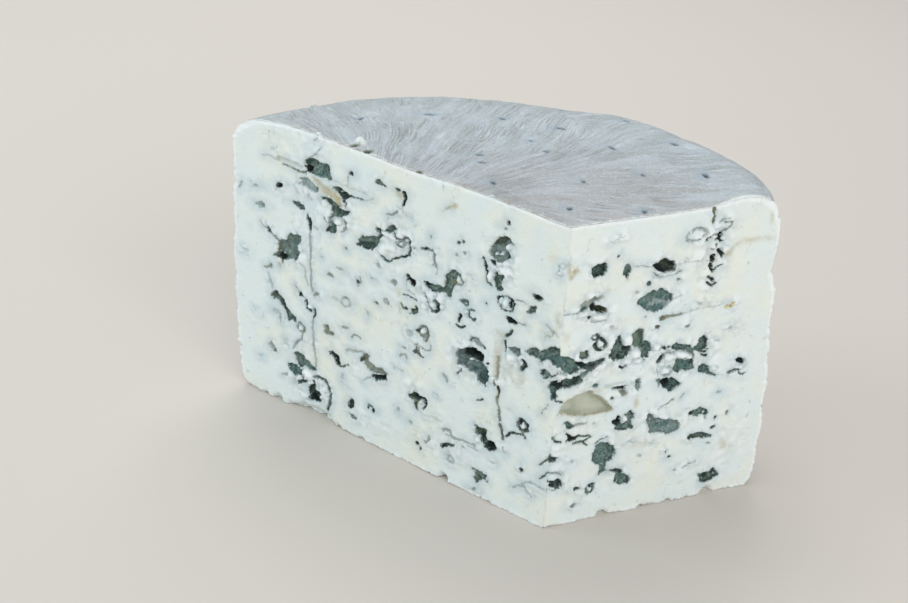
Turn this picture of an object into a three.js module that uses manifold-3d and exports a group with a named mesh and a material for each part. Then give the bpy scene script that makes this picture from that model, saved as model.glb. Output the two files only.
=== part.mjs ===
import * as THREE from 'three';
import { mergeVertices } from 'three/addons/utils/BufferGeometryUtils.js';
import Module from 'manifold-3d';

// A piece of roquefort: about half of a round loaf, with one end cut off too.
// The long cut passes close to the loaf's axis, the short cut meets it at a sharp
// upright edge, and rind covers the round side, the top and the base.
// Millimetres, +Z up. The plan is drawn round the loaf's axis, the long cut faces -Y.

// Driving dimensions of the loaf
const loafRadius = 100;
const loafHeight = 103;
const bellyBulge = 1.2;
const leanPerHeight = 0.03;
const footRounding = { height: 7, inset: 2.6 };

// Where the two cuts meet, and how each runs away from there: heading in degrees from +X
const cornerFromAxis = new THREE.Vector2(40, -4);
const longCut = makeCut({ heading: 180, length: 141, outwardTurn: 90 });
const shortCut = makeCut({ heading: 64.1, length: 78, outwardTurn: -90 });

// The top rounds off into the side: wide and low over the long cut's end, tight over the short cut's end
const shoulderAtLongCut = { width: 28, drop: 11 };
const shoulderAtShortCut = { width: 12, drop: 10 };
const shoulderRimAngle = THREE.MathUtils.degToRad(50);

// A swelling of the top rind beside the end of the short cut
const topLump = { alongShortCut: 60, height: 1.3, reach: 8 };

// Relief of the surfaces, as height and wavelength
const topRelief = [{ height: 0.8, wave: 26 }, { height: 0.35, wave: 9 }];
const sideRelief = [{ height: 1.1, wave: 17 }, { height: 0.5, wave: 7 }];
const cutRelief = [{ height: 0.45, wave: 19 }, { height: 0.2, wave: 7 }];
const footRaggedness = { height: 1.3, wave: 6 };
const cutReliefFade = 0.14;

// Fineness of the faceted body
const longCutColumns = 25;
const shortCutColumns = 14;
const sideColumns = 40;
const wallRows = 19;
const rowCrowding = 1.15;
const topRings = [0.975, 0.94, 0.88, 0.79, 0.67, 0.52, 0.35, 0.17];
const footRing = 0.955;
const reachSteps = 6;

// Hollows in the long cut. along is measured from the sharp edge, up from the base.
const longCutHollows = [
  { along: 100, up: 93, wide: 12, high: 5.5, deep: 3.5, tilt: 4 },
  { along: 96, up: 85.5, wide: 15, high: 4, deep: 3.5, tilt: 10 },
  { along: 89.5, up: 81.5, wide: 8, high: 4.5, deep: 4, tilt: 0 },
  { along: 118.3, up: 82, wide: 4, high: 2.6, deep: 2.5, tilt: -20 },
  { along: 93.5, up: 74, wide: 6.5, high: 4, deep: 2.5, tilt: -15 },
  { along: 77.5, up: 73.8, wide: 10, high: 4.5, deep: 3.5, tilt: -14 },
  { along: 68.5, up: 81, wide: 6.5, high: 2.8, deep: 2, tilt: -12 },
  { along: 63.2, up: 93, wide: 4, high: 5.5, deep: 2.5, tilt: 20 },
  { along: 112.8, up: 61.2, wide: 10, high: 9.5, deep: 4.5, tilt: -25 },
  { along: 117, up: 56.3, wide: 6, high: 3, deep: 4.5, tilt: 0 },
  { along: 123.3, up: 64.6, wide: 3.5, high: 2.6, deep: 2.5, tilt: 25 },
  { along: 118.5, up: 40, wide: 7, high: 4, deep: 3, tilt: 20 },
  { along: 112.3, up: 35.8, wide: 6, high: 3.6, deep: 2.5, tilt: 25 },
  { along: 107, up: 45.3, wide: 4, high: 2.6, deep: 2.5, tilt: 10 },
  { along: 106.5, up: 20.3, wide: 8.5, high: 4.5, deep: 2.5, tilt: 5 },
  { along: 110, up: 15.2, wide: 8, high: 4, deep: 3, tilt: 0 },
  { along: 101, up: 9.5, wide: 7, high: 7, deep: 5.5, tilt: 0 },
  { along: 90, up: 26, wide: 5, high: 5, deep: 2.5, tilt: 0 },
  { along: 77, up: 31, wide: 6, high: 4, deep: 2, tilt: -20 },
  { along: 70.7, up: 27.4, wide: 7.5, high: 3.2, deep: 4, tilt: -18 },
  { along: 83, up: 12, wide: 3.5, high: 4.5, deep: 2, tilt: 0 },
  { along: 53.7, up: 25.4, wide: 8.5, high: 4, deep: 5, tilt: 0 },
  { along: 26.8, up: 23.6, wide: 5, high: 5, deep: 3.5, tilt: 0 },
  { along: 23, up: 20.2, wide: 5.5, high: 3.2, deep: 5, tilt: -12 },
  { along: 26.5, up: 7.6, wide: 5.5, high: 4.5, deep: 2, tilt: 0 },
  { along: 32.3, up: 47, wide: 14, high: 10, deep: 8, tilt: 6 },
  { along: 50, up: 67, wide: 5.5, high: 3, deep: 3.5, tilt: 0 },
  { along: 42.8, up: 70, wide: 5.5, high: 9.5, deep: 4.5, tilt: 12 },
  { along: 57.8, up: 66.3, wide: 4.5, high: 3, deep: 3, tilt: 20 },
  { along: 24.5, up: 87.6, wide: 7.5, high: 8, deep: 4, tilt: -30 },
  { along: 25.8, up: 78, wide: 7, high: 6, deep: 2.5, tilt: 0 },
  { along: 18.3, up: 66.4, wide: 4.5, high: 2.4, deep: 3.5, tilt: 0 },
  { along: 58.3, up: 56.6, wide: 8, high: 3, deep: 2.5, tilt: -12 },
  { along: 53, up: 50.6, wide: 5.5, high: 4.6, deep: 2, tilt: 0 },
  { along: 15.8, up: 56, wide: 7, high: 5, deep: 2.5, tilt: 0 },
];

// Hollows in the short cut, measured in the same way
const shortCutHollows = [
  { along: 11, up: 87.6, wide: 5.4, high: 4.6, deep: 4.5, tilt: 0 },
  { along: 20.8, up: 85.4, wide: 2.8, high: 5, deep: 2.5, tilt: 0 },
  { along: 33.8, up: 85.8, wide: 8, high: 4.2, deep: 5.5, tilt: 0 },
  { along: 10, up: 75, wide: 10.5, high: 5, deep: 5.5, tilt: -8 },
  { along: 32.4, up: 74.4, wide: 11, high: 7.2, deep: 3.5, tilt: 0 },
  { along: 52, up: 93, wide: 4, high: 3.4, deep: 4, tilt: 0 },
  { along: 51.3, up: 84.8, wide: 3.4, high: 7, deep: 3.5, tilt: 0 },
  { along: 22.2, up: 59, wide: 8, high: 6, deep: 4.5, tilt: 10 },
  { along: 28.5, up: 61.5, wide: 7, high: 6, deep: 2.5, tilt: -20 },
  { along: 0.5, up: 58.8, wide: 20, high: 5.5, deep: 3.5, tilt: -6 },
  { along: 9.4, up: 56.2, wide: 7, high: 3.6, deep: 5, tilt: 0 },
  { along: 2.5, up: 51, wide: 13, high: 3.4, deep: 4.5, tilt: 4 },
  { along: 11.3, up: 42.8, wide: 17.5, high: 7.4, deep: 5, tilt: -5 },
  { along: 22.4, up: 46, wide: 5.6, high: 2.4, deep: 4, tilt: 0 },
  { along: 45.5, up: 51.2, wide: 8.5, high: 5.8, deep: 3, tilt: 0 },
  { along: 44.3, up: 56.4, wide: 7, high: 2.6, deep: 2.5, tilt: -14 },
  { along: 51.3, up: 57, wide: 4.4, high: 4.4, deep: 3, tilt: 0 },
  { along: 40.3, up: 44.6, wide: 6.8, high: 5.4, deep: 6.5, tilt: -20 },
  { along: 53.2, up: 47.6, wide: 5, high: 3.2, deep: 2.5, tilt: -20 },
  { along: 66.2, up: 48.3, wide: 5.5, high: 2.6, deep: 4, tilt: -8 },
  { along: 6.8, up: 32.6, wide: 5.5, high: 4.6, deep: 4, tilt: -30 },
  { along: 25.2, up: 33.8, wide: 8, high: 6, deep: 3, tilt: 0 },
  { along: 41.3, up: 29.6, wide: 11, high: 5.4, deep: 3, tilt: -6 },
  { along: 35.3, up: 32.8, wide: 3.6, high: 6, deep: 2.5, tilt: 20 },
  { along: 53.2, up: 32.4, wide: 8.4, high: 3, deep: 2.5, tilt: -6 },
  { along: 54.8, up: 23.2, wide: 10.4, high: 2.6, deep: 2.5, tilt: -8 },
  { along: 19.6, up: 23, wide: 8.4, high: 9, deep: 3, tilt: -20 },
  { along: 26.8, up: 12.8, wide: 6.4, high: 5, deep: 3, tilt: -20 },
  { along: 2.6, up: 15.8, wide: 5.8, high: 2.6, deep: 3, tilt: 0 },
  { along: 60.8, up: 6.4, wide: 8, high: 3.8, deep: 3.5, tilt: 0 },
];

// Crumbs gone from the lower edge of the long cut and of the short cut
const longCutNotches = [
  { along: 100, up: -1, wide: 17, high: 9, deep: 4.5, tilt: 0 },
  { along: 118, up: -1, wide: 8, high: 4, deep: 2.5, tilt: 0 },
  { along: 41, up: -1, wide: 5, high: 4, deep: 2.5, tilt: 0 },
];
const shortCutNotches = [
  { along: 61, up: -1.2, wide: 5, high: 5, deep: 3, tilt: 0 },
  { along: 21.5, up: -1.2, wide: 6, high: 4.4, deep: 2.5, tilt: 0 },
];

// The piercing needles' holes in the top rind, as x and y from the loaf's axis, in rings round it
const needleHoles = [
  [4, 6], [-19, -1], [-10, 19], [-15, 22], [31, 8], [23, 29], [-41, -2], [-1, 40], [-11, 46], [48, 22],
  [32, 46], [-63, 19], [-51, 41], [-32, 57], [-12, 63], [11, 60], [45, 62], [-25, 83], [0, 85], [23, 79],
];
const needleHole = { radius: 0.9, depth: 2.5, sides: 6 };

// Shape of one hollow: how far its middle lies behind the cut, how uneven and how rough its wall is,
// and the size of opening, in square millimetres, under which it gets fewer faces
const hollowSetBack = 0.2;
const hollowUnevenness = 0.3;
const hollowRoughness = 1.4;
const smallHollow = 26;

// Angle round the loaf's axis, unwrapped so that it runs on past half a turn
function angleOf(x, y) {
  const angle = Math.atan2(y, x);
  return angle < -Math.PI / 2 ? angle + 2 * Math.PI : angle;
}

function headingVector(degrees) {
  const angle = THREE.MathUtils.degToRad(degrees);
  return new THREE.Vector2(Math.cos(angle), Math.sin(angle));
}

// A cut: its direction in plan, the way out of it, and its end's angle round the loaf's axis
function makeCut({ heading, length, outwardTurn }) {
  const direction = headingVector(heading);
  const outward = headingVector(heading + outwardTurn);
  const end = direction.clone().multiplyScalar(length).add(cornerFromAxis);
  return { length, direction, outward, endAngle: angleOf(end.x, end.y) };
}

function pointOnCut(cut, along) {
  return cut.direction.clone().multiplyScalar(along).add(cornerFromAxis);
}

// The loaf leans a little, so its axis shifts along X with height
function lean(z) {
  return -leanPerHeight * (z - loafHeight / 2);
}

// Smooth random relief on a lattice whose values are drawn once from a fixed seed
function seededRandom(seed) {
  let state = seed;
  return () => {
    state = (state + 0x6d2b79f5) | 0;
    let t = Math.imul(state ^ (state >>> 15), 1 | state);
    t = (t + Math.imul(t ^ (t >>> 7), 61 | t)) ^ t;
    return ((t ^ (t >>> 14)) >>> 0) / 4294967296;
  };
}

const latticeSize = 32;
const drawLattice = seededRandom(1863);
const lattice = Array.from({ length: latticeSize ** 3 }, () => drawLattice() * 2 - 1);

function latticeValue(i, j, k) {
  const wrap = (n) => ((n % latticeSize) + latticeSize) % latticeSize;
  return lattice[(wrap(i) * latticeSize + wrap(j)) * latticeSize + wrap(k)];
}

function smoothNoise(x, y, z) {
  const base = [Math.floor(x), Math.floor(y), Math.floor(z)];
  const weight = [x - base[0], y - base[1], z - base[2]].map((t) => t * t * (3 - 2 * t));
  let sum = 0;
  for (const di of [0, 1]) {
    for (const dj of [0, 1]) {
      for (const dk of [0, 1]) {
        const share = (di ? weight[0] : 1 - weight[0]) * (dj ? weight[1] : 1 - weight[1]);
        const value = latticeValue(base[0] + di, base[1] + dj, base[2] + dk);
        sum += share * (dk ? weight[2] : 1 - weight[2]) * value;
      }
    }
  }
  return sum;
}

function relief(layers, x, y, z) {
  let sum = 0;
  for (const { height, wave } of layers) {
    sum += height * smoothNoise(x / wave, y / wave, z / wave);
  }
  return sum;
}

// The shoulder changes from one cut's end to the other round the side
function shoulderAt(angle) {
  const share = THREE.MathUtils.smoothstep(angle, shortCut.endAngle, longCut.endAngle);
  return {
    width: THREE.MathUtils.lerp(shoulderAtShortCut.width, shoulderAtLongCut.width, share),
    drop: THREE.MathUtils.lerp(shoulderAtShortCut.drop, shoulderAtLongCut.drop, share),
  };
}

// Height at which the side's wall ends and the top rind begins, part of the way round the shoulder
function rimHeight(angle) {
  return loafHeight - shoulderAt(angle).drop * (1 - Math.cos(shoulderRimAngle));
}

// The round side: a slight belly, rounded at the foot and up to the rim of the shoulder
function sideRadius(angle, z) {
  const { width, drop } = shoulderAt(angle);
  const belly = bellyBulge * (1 - ((2 * z) / loafHeight - 1) ** 2);
  const inFoot = Math.max(0, 1 - z / footRounding.height);
  const foot = footRounding.inset * (1 - Math.sqrt(1 - inFoot ** 2));
  const inShoulder = Math.max(0, 1 - (loafHeight - z) / drop);
  const shoulder = width * (1 - Math.sqrt(1 - inShoulder ** 2));
  const x = loafRadius * Math.cos(angle);
  const y = loafRadius * Math.sin(angle);
  return loafRadius - bellyBulge + belly - foot - shoulder + relief(sideRelief, x, y, z);
}

// The top rind: level in the middle, rounding down over the shoulder
function topHeight(x, y) {
  const fromAxis = Math.hypot(x - lean(loafHeight), y);
  const { width, drop } = shoulderAt(angleOf(x, y));
  const inShoulder = THREE.MathUtils.clamp(1 - (loafRadius - fromAxis) / width, 0, 0.98);
  const rounding = drop * (1 - Math.sqrt(1 - inShoulder ** 2));
  const fromLump = new THREE.Vector2(x, y).distanceTo(pointOnCut(shortCut, topLump.alongShortCut));
  const lump = topLump.height * Math.exp(-((fromLump / topLump.reach) ** 2));
  return loafHeight - rounding + lump + relief(topRelief, x, y, 0);
}

// Distance from the sharp edge to the round side, along a cut, at height z
function cutReach(cut, z) {
  let reach = cut.length;
  for (let step = 0; step < reachSteps; step += 1) {
    const { x, y } = pointOnCut(cut, reach);
    reach += sideRadius(angleOf(x - lean(z), y), z) - Math.hypot(x - lean(z), y);
  }
  return reach;
}

// A column of wall points in a cut, share 0 at the sharp edge and 1 at the rind.
// The cut's relief fades out towards both of its upright edges.
function cutColumn(cut, share) {
  const rim = rimHeight(cut.endAngle);
  const top = pointOnCut(cut, share * cutReach(cut, rim));
  const columnTop = share < 1 ? topHeight(top.x, top.y) : rim;
  const fade = Math.min(1, share / cutReliefFade, (1 - share) / cutReliefFade);
  return (rise) => {
    const { x, y } = pointOnCut(cut, share * cutReach(cut, rise * rim));
    const z = rise * columnTop;
    const push = fade * relief(cutRelief, x, y, z);
    return [x + push * cut.outward.x, y + push * cut.outward.y, z + footLift(x, y, rise)];
  };
}

function sideColumn(angle) {
  const rim = rimHeight(angle);
  return (rise) => {
    const z = rise * rim;
    const radius = sideRadius(angle, z);
    const x = radius * Math.cos(angle) + lean(z);
    const y = radius * Math.sin(angle);
    return [x, y, z + footLift(x, y, rise)];
  };
}

// The lowest row of the wall is ragged, everything inside it lies flat on the ground
function footLift(x, y, rise) {
  if (rise > 0) {
    return 0;
  }
  return Math.max(0, relief([footRaggedness], x, y, 0));
}

function bodyGeometry() {
  const columns = [];
  for (let i = longCutColumns; i > 0; i -= 1) {
    columns.push(cutColumn(longCut, i / longCutColumns));
  }
  for (let i = 0; i <= shortCutColumns; i += 1) {
    columns.push(cutColumn(shortCut, i / shortCutColumns));
  }
  for (let i = 1; i < sideColumns; i += 1) {
    columns.push(sideColumn(THREE.MathUtils.lerp(shortCut.endAngle, longCut.endAngle, i / sideColumns)));
  }

  const rings = [];
  for (let row = 0; row <= wallRows; row += 1) {
    rings.push(columns.map((column) => column((row / wallRows) ** rowCrowding)));
  }
  const rimRing = rings[wallRows];
  const footWallRing = rings[0];
  const middle = [0, 1].map((axis) => rimRing.reduce((sum, p) => sum + p[axis], 0) / rimRing.length);
  const shrink = (ring, scale, heightAt) => ring.map(([x, y]) => {
    const px = middle[0] + scale * (x - middle[0]);
    const py = middle[1] + scale * (y - middle[1]);
    return [px, py, heightAt(px, py)];
  });
  rings.unshift(shrink(footWallRing, footRing, () => 0));
  for (const scale of topRings) {
    rings.push(shrink(rimRing, scale, topHeight));
  }

  const positions = rings.flat(2);
  const count = columns.length;
  const index = [];
  for (let ring = 0; ring + 1 < rings.length; ring += 1) {
    for (let i = 0; i < count; i += 1) {
      const a = ring * count + i;
      const b = ring * count + ((i + 1) % count);
      index.push(a, b, b + count, a, b + count, a + count);
    }
  }
  const footMiddle = positions.length / 3;
  positions.push(middle[0], middle[1], 0);
  const topMiddle = footMiddle + 1;
  positions.push(middle[0], middle[1], topHeight(middle[0], middle[1]));
  const lastRing = (rings.length - 1) * count;
  for (let i = 0; i < count; i += 1) {
    const next = (i + 1) % count;
    index.push(footMiddle, next, i, topMiddle, lastRing + i, lastRing + next);
  }
  const geometry = new THREE.BufferGeometry();
  geometry.setAttribute('position', new THREE.Float32BufferAttribute(positions, 3));
  geometry.setIndex(index);
  return geometry;
}

// The shape with each corner stored once, as a solid needs it
function sharedPoints(shape) {
  shape.deleteAttribute('normal');
  shape.deleteAttribute('uv');
  return mergeVertices(shape);
}

// One hollow's cutter: an uneven ball stretched to the hollow's size, its middle a little behind the cut
function hollowCutter({ along, up, wide, high, deep, tilt }, cut) {
  const geometry = sharedPoints(new THREE.IcosahedronGeometry(1, wide * high < smallHollow ? 0 : 1));
  const points = geometry.getAttribute('position');
  const point = new THREE.Vector3();
  for (let i = 0; i < points.count; i += 1) {
    point.fromBufferAttribute(points, i);
    const uneven = smoothNoise(point.x * hollowRoughness + along, point.y * hollowRoughness + up, point.z);
    point.multiplyScalar(1 + hollowUnevenness * uneven);
    points.setXYZ(i, point.x, point.y, point.z);
  }
  const turn = new THREE.Matrix4().makeRotationZ(THREE.MathUtils.degToRad(tilt));
  const size = new THREE.Matrix4().makeScale(wide / 2, high / 2, deep / (1 + hollowSetBack));
  const alongAxis = new THREE.Vector3(cut.direction.x, cut.direction.y, 0);
  const upAxis = new THREE.Vector3(0, 0, 1);
  const inwardAxis = new THREE.Vector3(-cut.outward.x, -cut.outward.y, 0);
  const place = new THREE.Matrix4().makeBasis(alongAxis, upAxis, inwardAxis);
  const setBack = (hollowSetBack * deep) / (1 + hollowSetBack);
  const { x, y } = pointOnCut(cut, along).addScaledVector(cut.outward, -setBack);
  place.setPosition(x, y, up);
  geometry.applyMatrix4(place.multiply(turn).multiply(size));
  return place.determinant() < 0 ? flipFaces(geometry) : geometry;
}

function flipFaces(geometry) {
  const index = geometry.getIndex();
  for (let i = 0; i < index.count; i += 3) {
    const first = index.getX(i);
    index.setX(i, index.getX(i + 1));
    index.setX(i + 1, first);
  }
  return geometry;
}

// A cone with its point down, half of it above the rind
function needleCutter([x, y]) {
  const { radius, depth, sides } = needleHole;
  const geometry = sharedPoints(new THREE.ConeGeometry(2 * radius, 2 * depth, sides, 1));
  geometry.rotateX(-Math.PI / 2);
  geometry.translate(x, y, topHeight(x, y));
  return geometry;
}

const wasm = await Module();
wasm.setup();

function toSolid(geometry) {
  return new wasm.Manifold(new wasm.Mesh({
    numProp: 3,
    vertProperties: new Float32Array(geometry.getAttribute('position').array),
    triVerts: new Uint32Array(geometry.getIndex().array),
  }));
}

function toGeometry(solid) {
  const mesh = solid.getMesh();
  const geometry = new THREE.BufferGeometry();
  geometry.setAttribute('position', new THREE.BufferAttribute(mesh.vertProperties, 3));
  geometry.setIndex(new THREE.BufferAttribute(mesh.triVerts, 1));
  return geometry;
}

function cheeseGeometry() {
  const cutters = [
    ...[...longCutHollows, ...longCutNotches].map((hollow) => hollowCutter(hollow, longCut)),
    ...[...shortCutHollows, ...shortCutNotches].map((hollow) => hollowCutter(hollow, shortCut)),
    ...needleHoles.map(needleCutter),
  ];
  let solid = toSolid(bodyGeometry());
  for (const cutter of cutters) {
    solid = solid.subtract(toSolid(cutter));
  }
  const geometry = toGeometry(solid);
  geometry.computeBoundingBox();
  const { min, max } = geometry.boundingBox;
  geometry.translate(-(min.x + max.x) / 2, -(min.y + max.y) / 2, -min.z);
  return geometry;
}

const paste = new THREE.MeshStandardMaterial({ color: 0xe3e4d6, roughness: 0.6, metalness: 0 });
const cheese = new THREE.Mesh(cheeseGeometry(), paste);
cheese.name = 'roquefort_piece';

const piece = new THREE.Group();
piece.add(cheese);

export default piece;
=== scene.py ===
import math
from functools import partial

import bpy
import numpy as np
from mathutils import Matrix, Vector
from mathutils.geometry import delaunay_2d_cdt
from mathutils.kdtree import KDTree


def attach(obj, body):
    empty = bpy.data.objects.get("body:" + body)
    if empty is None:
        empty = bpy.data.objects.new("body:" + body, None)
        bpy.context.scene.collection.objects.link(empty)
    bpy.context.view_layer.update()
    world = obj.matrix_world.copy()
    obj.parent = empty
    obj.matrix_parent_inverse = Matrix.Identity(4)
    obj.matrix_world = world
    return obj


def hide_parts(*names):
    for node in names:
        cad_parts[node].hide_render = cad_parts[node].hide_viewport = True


# A piece of roquefort: about half of a round loaf, cut twice, with rind on its round side, top and base.
# Shapes are worked out in millimetres round the loaf's axis and turned to metres when the mesh is made.

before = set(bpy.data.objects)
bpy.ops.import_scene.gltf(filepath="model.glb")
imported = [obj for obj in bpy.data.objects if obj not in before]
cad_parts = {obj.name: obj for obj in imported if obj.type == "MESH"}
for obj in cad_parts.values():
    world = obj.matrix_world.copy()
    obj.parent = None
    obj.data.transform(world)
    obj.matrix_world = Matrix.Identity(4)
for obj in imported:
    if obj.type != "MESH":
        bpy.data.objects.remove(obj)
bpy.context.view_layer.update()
metre = 0.001

loaf = {
    "axisPlace": (13.08, -47.83),  # the round loaf's axis, in the part's own plan
    "radius": 100.0,
    "height": 103.0,
    "bellyBulge": 1.2,
    "leanPerHeight": 0.03,
    "footHeight": 7.0,
    "footInset": 2.6,
    "corner": (40.0, -4.0),  # where the two cuts meet, from the axis
    "longShoulder": (28.0, 11.0),  # width and drop of the rounding over the long cut's end
    "shortShoulder": (12.0, 10.0),
    "rimAngle": math.radians(50),  # how far round the shoulder the side ends and the top begins
    "lumpAlong": 60.0,  # a swelling of the top beside the end of the short cut
    "lumpHeight": 1.3,
    "lumpReach": 8.0,
    "topSink": (1.4, 32.0),  # the top is a little low at the sharp corner, over this reach
    "topRise": (1.2, 50.0, 105.0),  # and high at the far rim, between these distances from the corner
    "topRelief": ((0.8, 26.0), (0.35, 9.0)),
    "sideRelief": ((1.1, 17.0), (0.5, 7.0), (0.35, 2.6), (0.3, 1.2)),
    "cutRelief": ((0.45, 19.0), (0.2, 7.0)),
    "footRaggedness": ((1.3, 6.0),),
    "footFade": 0.03,  # share of the side's height over which that fades
    "cutReliefFade": 0.14,
    "seed": 1863,
}

meshing = {
    "edgeStep": 0.45,  # along every edge of the piece
    "roundStep": 1.1,  # along the rim and the foot of the round side
    "clearance": 0.8,  # how near a point may come to an edge, as a share of that edge's step
    "fine": 0.42,  # spacing of points beside the marks in the cuts
    "cutCoarsest": 2,  # how often that spacing doubles away from the marks
    "outlineBelt": (-0.9, 1.6),  # it holds between these distances outside and inside their outlines
    "rimBelt": 0.9,  # and this near to the cut's edges
    "plainPaste": (-5.5, 4),  # it doubles twice this far from every mark and from the edges
    "topFine": 0.55,
    "sideFine": 0.45,  # this spacing doubles up to three times away from the cuts
    "rindCoarsest": 3,
    "jitter": 0.16,  # how far points are moved off their lattice
    "mapStep": 0.2,  # spacing of the maps that the marks are painted on
}


def smooth(low, high, value):
    share = np.clip((value - low) / (high - low), 0, 1)
    return share * share * (3 - 2 * share)


# Smooth random relief on a lattice whose values are drawn once from a fixed seed
def drawLattice(seed, size):
    mask = 0xffffffff
    state, values = seed, []
    for _ in range(size ** 3):
        state = (state + 0x6d2b79f5) & mask
        t = ((state ^ (state >> 15)) * (1 | state)) & mask
        t = ((t + (((t ^ (t >> 7)) * (61 | t)) & mask)) & mask) ^ t
        values.append((t ^ (t >> 14)) / 4294967296 * 2 - 1)
    return np.array(values).reshape(size, size, size)


lattice = drawLattice(loaf["seed"], 32)


def smoothNoise(x, y, z):
    x, y, z = np.broadcast_arrays(x, y, z)
    base = [np.floor(c).astype(int) for c in (x, y, z)]
    part = [c - b for c, b in zip((x, y, z), base)]
    weight = [t * t * (3 - 2 * t) for t in part]
    total = np.zeros(x.shape)
    for i in (0, 1):
        for j in (0, 1):
            for k in (0, 1):
                share = np.ones(x.shape)
                for bit, w in zip((i, j, k), weight):
                    share = share * (w if bit else 1 - w)
                total += share * lattice[(base[0] + i) % 32, (base[1] + j) % 32, (base[2] + k) % 32]
    return total


def relief(layers, x, y, z):
    return sum(height * smoothNoise(x / wave, y / wave, z / wave) for height, wave in layers)


def roughness(x, y, z, wave, layers=3):
    total = 0
    for layer in range(layers):
        size = wave / 2.1 ** layer
        total = total + 0.55 ** layer * smoothNoise(x / size + 7 * layer, y / size, z / size + 3 * layer)
    return total


# The loaf's surfaces, as in the part's source
def makeCut(heading, length, outwardTurn):
    turn = math.radians(heading)
    out = math.radians(heading + outwardTurn)
    direction = np.array([math.cos(turn), math.sin(turn)])
    end = np.array(loaf["corner"]) + length * direction
    return {
        "length": length, "direction": direction, "outward": np.array([math.cos(out), math.sin(out)]),
        "endAngle": float(angleOf(end[0], end[1])),
    }


def angleOf(x, y):
    angle = np.arctan2(y, x)
    return np.where(angle < -math.pi / 2, angle + 2 * math.pi, angle)


cuts = {"long": makeCut(180, 141, 90), "short": makeCut(64.1, 78, -90)}
longCut, shortCut = cuts.values()


def lean(z):
    return -loaf["leanPerHeight"] * (z - loaf["height"] / 2)


def shoulderAt(angle):
    share = smooth(shortCut["endAngle"], longCut["endAngle"], angle)
    short, long = loaf["shortShoulder"], loaf["longShoulder"]
    return short[0] + share * (long[0] - short[0]), short[1] + share * (long[1] - short[1])


def rimHeight(angle):
    return loaf["height"] - shoulderAt(angle)[1] * (1 - math.cos(loaf["rimAngle"]))


# How far the round side is worn in beside the end of each cut, as height and depth
endWear = {
    "long": (
        (0, 0.6), (6, 0.2), (28, 0), (30, 0.9), (32.5, 0), (40, 0), (42, 0.8), (44, 0), (56, 0), (60, 0.8), (64, 0),
        (74.5, 0), (76, 1.2), (78, 0),
    ),
    "short": (
        (0, 0.4), (5, 0), (30, 0.1), (40, 0.9), (50, 2.1), (60, 2.0), (66, 1.6), (71, 1.8), (74, 2.6), (77, 4.4),
        (80, 3.4), (84, 2.5), (90, 2.2), (95, 2.8), (100, 2.3),
    ),
    "reach": 9.0,
}


def sideWear(angle, z):
    total = 0
    for name, cut in cuts.items():
        heights, depths = zip(*endWear[name])
        fade = np.exp(-((angle - cut["endAngle"]) * loaf["radius"] / endWear["reach"]) ** 2)
        total = total + np.interp(z, heights, depths) * fade
    return total


def sideRadius(angle, z):
    width, drop = shoulderAt(angle)
    belly = loaf["bellyBulge"] * (1 - (2 * z / loaf["height"] - 1) ** 2)
    inFoot = np.clip(1 - z / loaf["footHeight"], 0, 1)
    foot = loaf["footInset"] * (1 - np.sqrt(1 - inFoot ** 2))
    inShoulder = np.clip(1 - (loaf["height"] - z) / drop, 0, 1)
    shoulder = width * (1 - np.sqrt(1 - inShoulder ** 2))
    x, y = loaf["radius"] * np.cos(angle), loaf["radius"] * np.sin(angle)
    plain = loaf["radius"] - loaf["bellyBulge"] + belly - foot - shoulder
    return plain + relief(loaf["sideRelief"], x, y, z) - sideWear(angle, z)


def topHeight(x, y):
    fromAxis = np.hypot(x - lean(loaf["height"]), y)
    width, drop = shoulderAt(angleOf(x, y))
    inShoulder = np.clip(1 - (loaf["radius"] - fromAxis) / width, 0, 0.98)
    rounding = drop * (1 - np.sqrt(1 - inShoulder ** 2))
    lumpX, lumpY = cutPlan(shortCut, loaf["lumpAlong"])
    fromLump = np.hypot(x - lumpX, y - lumpY)
    lump = loaf["lumpHeight"] * np.exp(-(fromLump / loaf["lumpReach"]) ** 2)
    away = np.hypot(x - loaf["corner"][0], y - loaf["corner"][1])
    sink, sinkReach = loaf["topSink"]
    rise, riseStart, riseEnd = loaf["topRise"]
    tilt = rise * smooth(riseStart, riseEnd, away) - sink * np.exp(-(away / sinkReach) ** 2)
    return loaf["height"] - rounding + lump + tilt + relief(loaf["topRelief"], x, y, 0)


def cutPlan(cut, along):
    return loaf["corner"][0] + along * cut["direction"][0], loaf["corner"][1] + along * cut["direction"][1]


def cutReach(cut, z):
    reach = np.full(np.shape(z), float(cut["length"]))
    for _ in range(6):
        x, y = cutPlan(cut, reach)
        reach = reach + sideRadius(angleOf(x - lean(z), y), z) - np.hypot(x - lean(z), y)
    return reach


def footLift(x, y):
    return np.maximum(0, relief(loaf["footRaggedness"], x, y, 0))


# Marks in a cut: blobs, rings, lines and areas, in millimetres along from the sharp edge and up from the base
def blob(along, up, wide, high, tilt=0, **more):
    return {"blob": (along, up, wide, high, tilt), **more}


def asPoints(numbers):
    return tuple(zip(numbers[::2], numbers[1::2]))


# Lines and areas are given by the numbers of their points, one place after the other
def line(width, *numbers, **more):
    return {"line": (width, asPoints(numbers)), **more}


# Outlines of areas get their corners cut off
def area(*numbers, **more):
    points = asPoints(numbers)
    pairs = zip(points, points[1:] + points[:1])
    share = 0.2 if len(points) > 6 else 0.1
    cut = [[(p[0] + t * (q[0] - p[0]), p[1] + t * (q[1] - p[1])) for t in (share, 1 - share)] for p, q in pairs]
    return {"area": tuple(point for pair in cut for point in pair), **more}


def ring(along, up, wide, high, tilt=0, thick=0.7, **more):
    return {"ring": (along, up, wide, high, tilt, thick), **more}


def blobDistance(s, z, along, up, wide, high, tilt):
    turn = math.radians(tilt)
    u = (s - along) * math.cos(turn) + (z - up) * math.sin(turn)
    v = (z - up) * math.cos(turn) - (s - along) * math.sin(turn)
    return (1 - np.hypot(u / (wide / 2), v / (high / 2))) * min(wide, high) / 2


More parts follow.
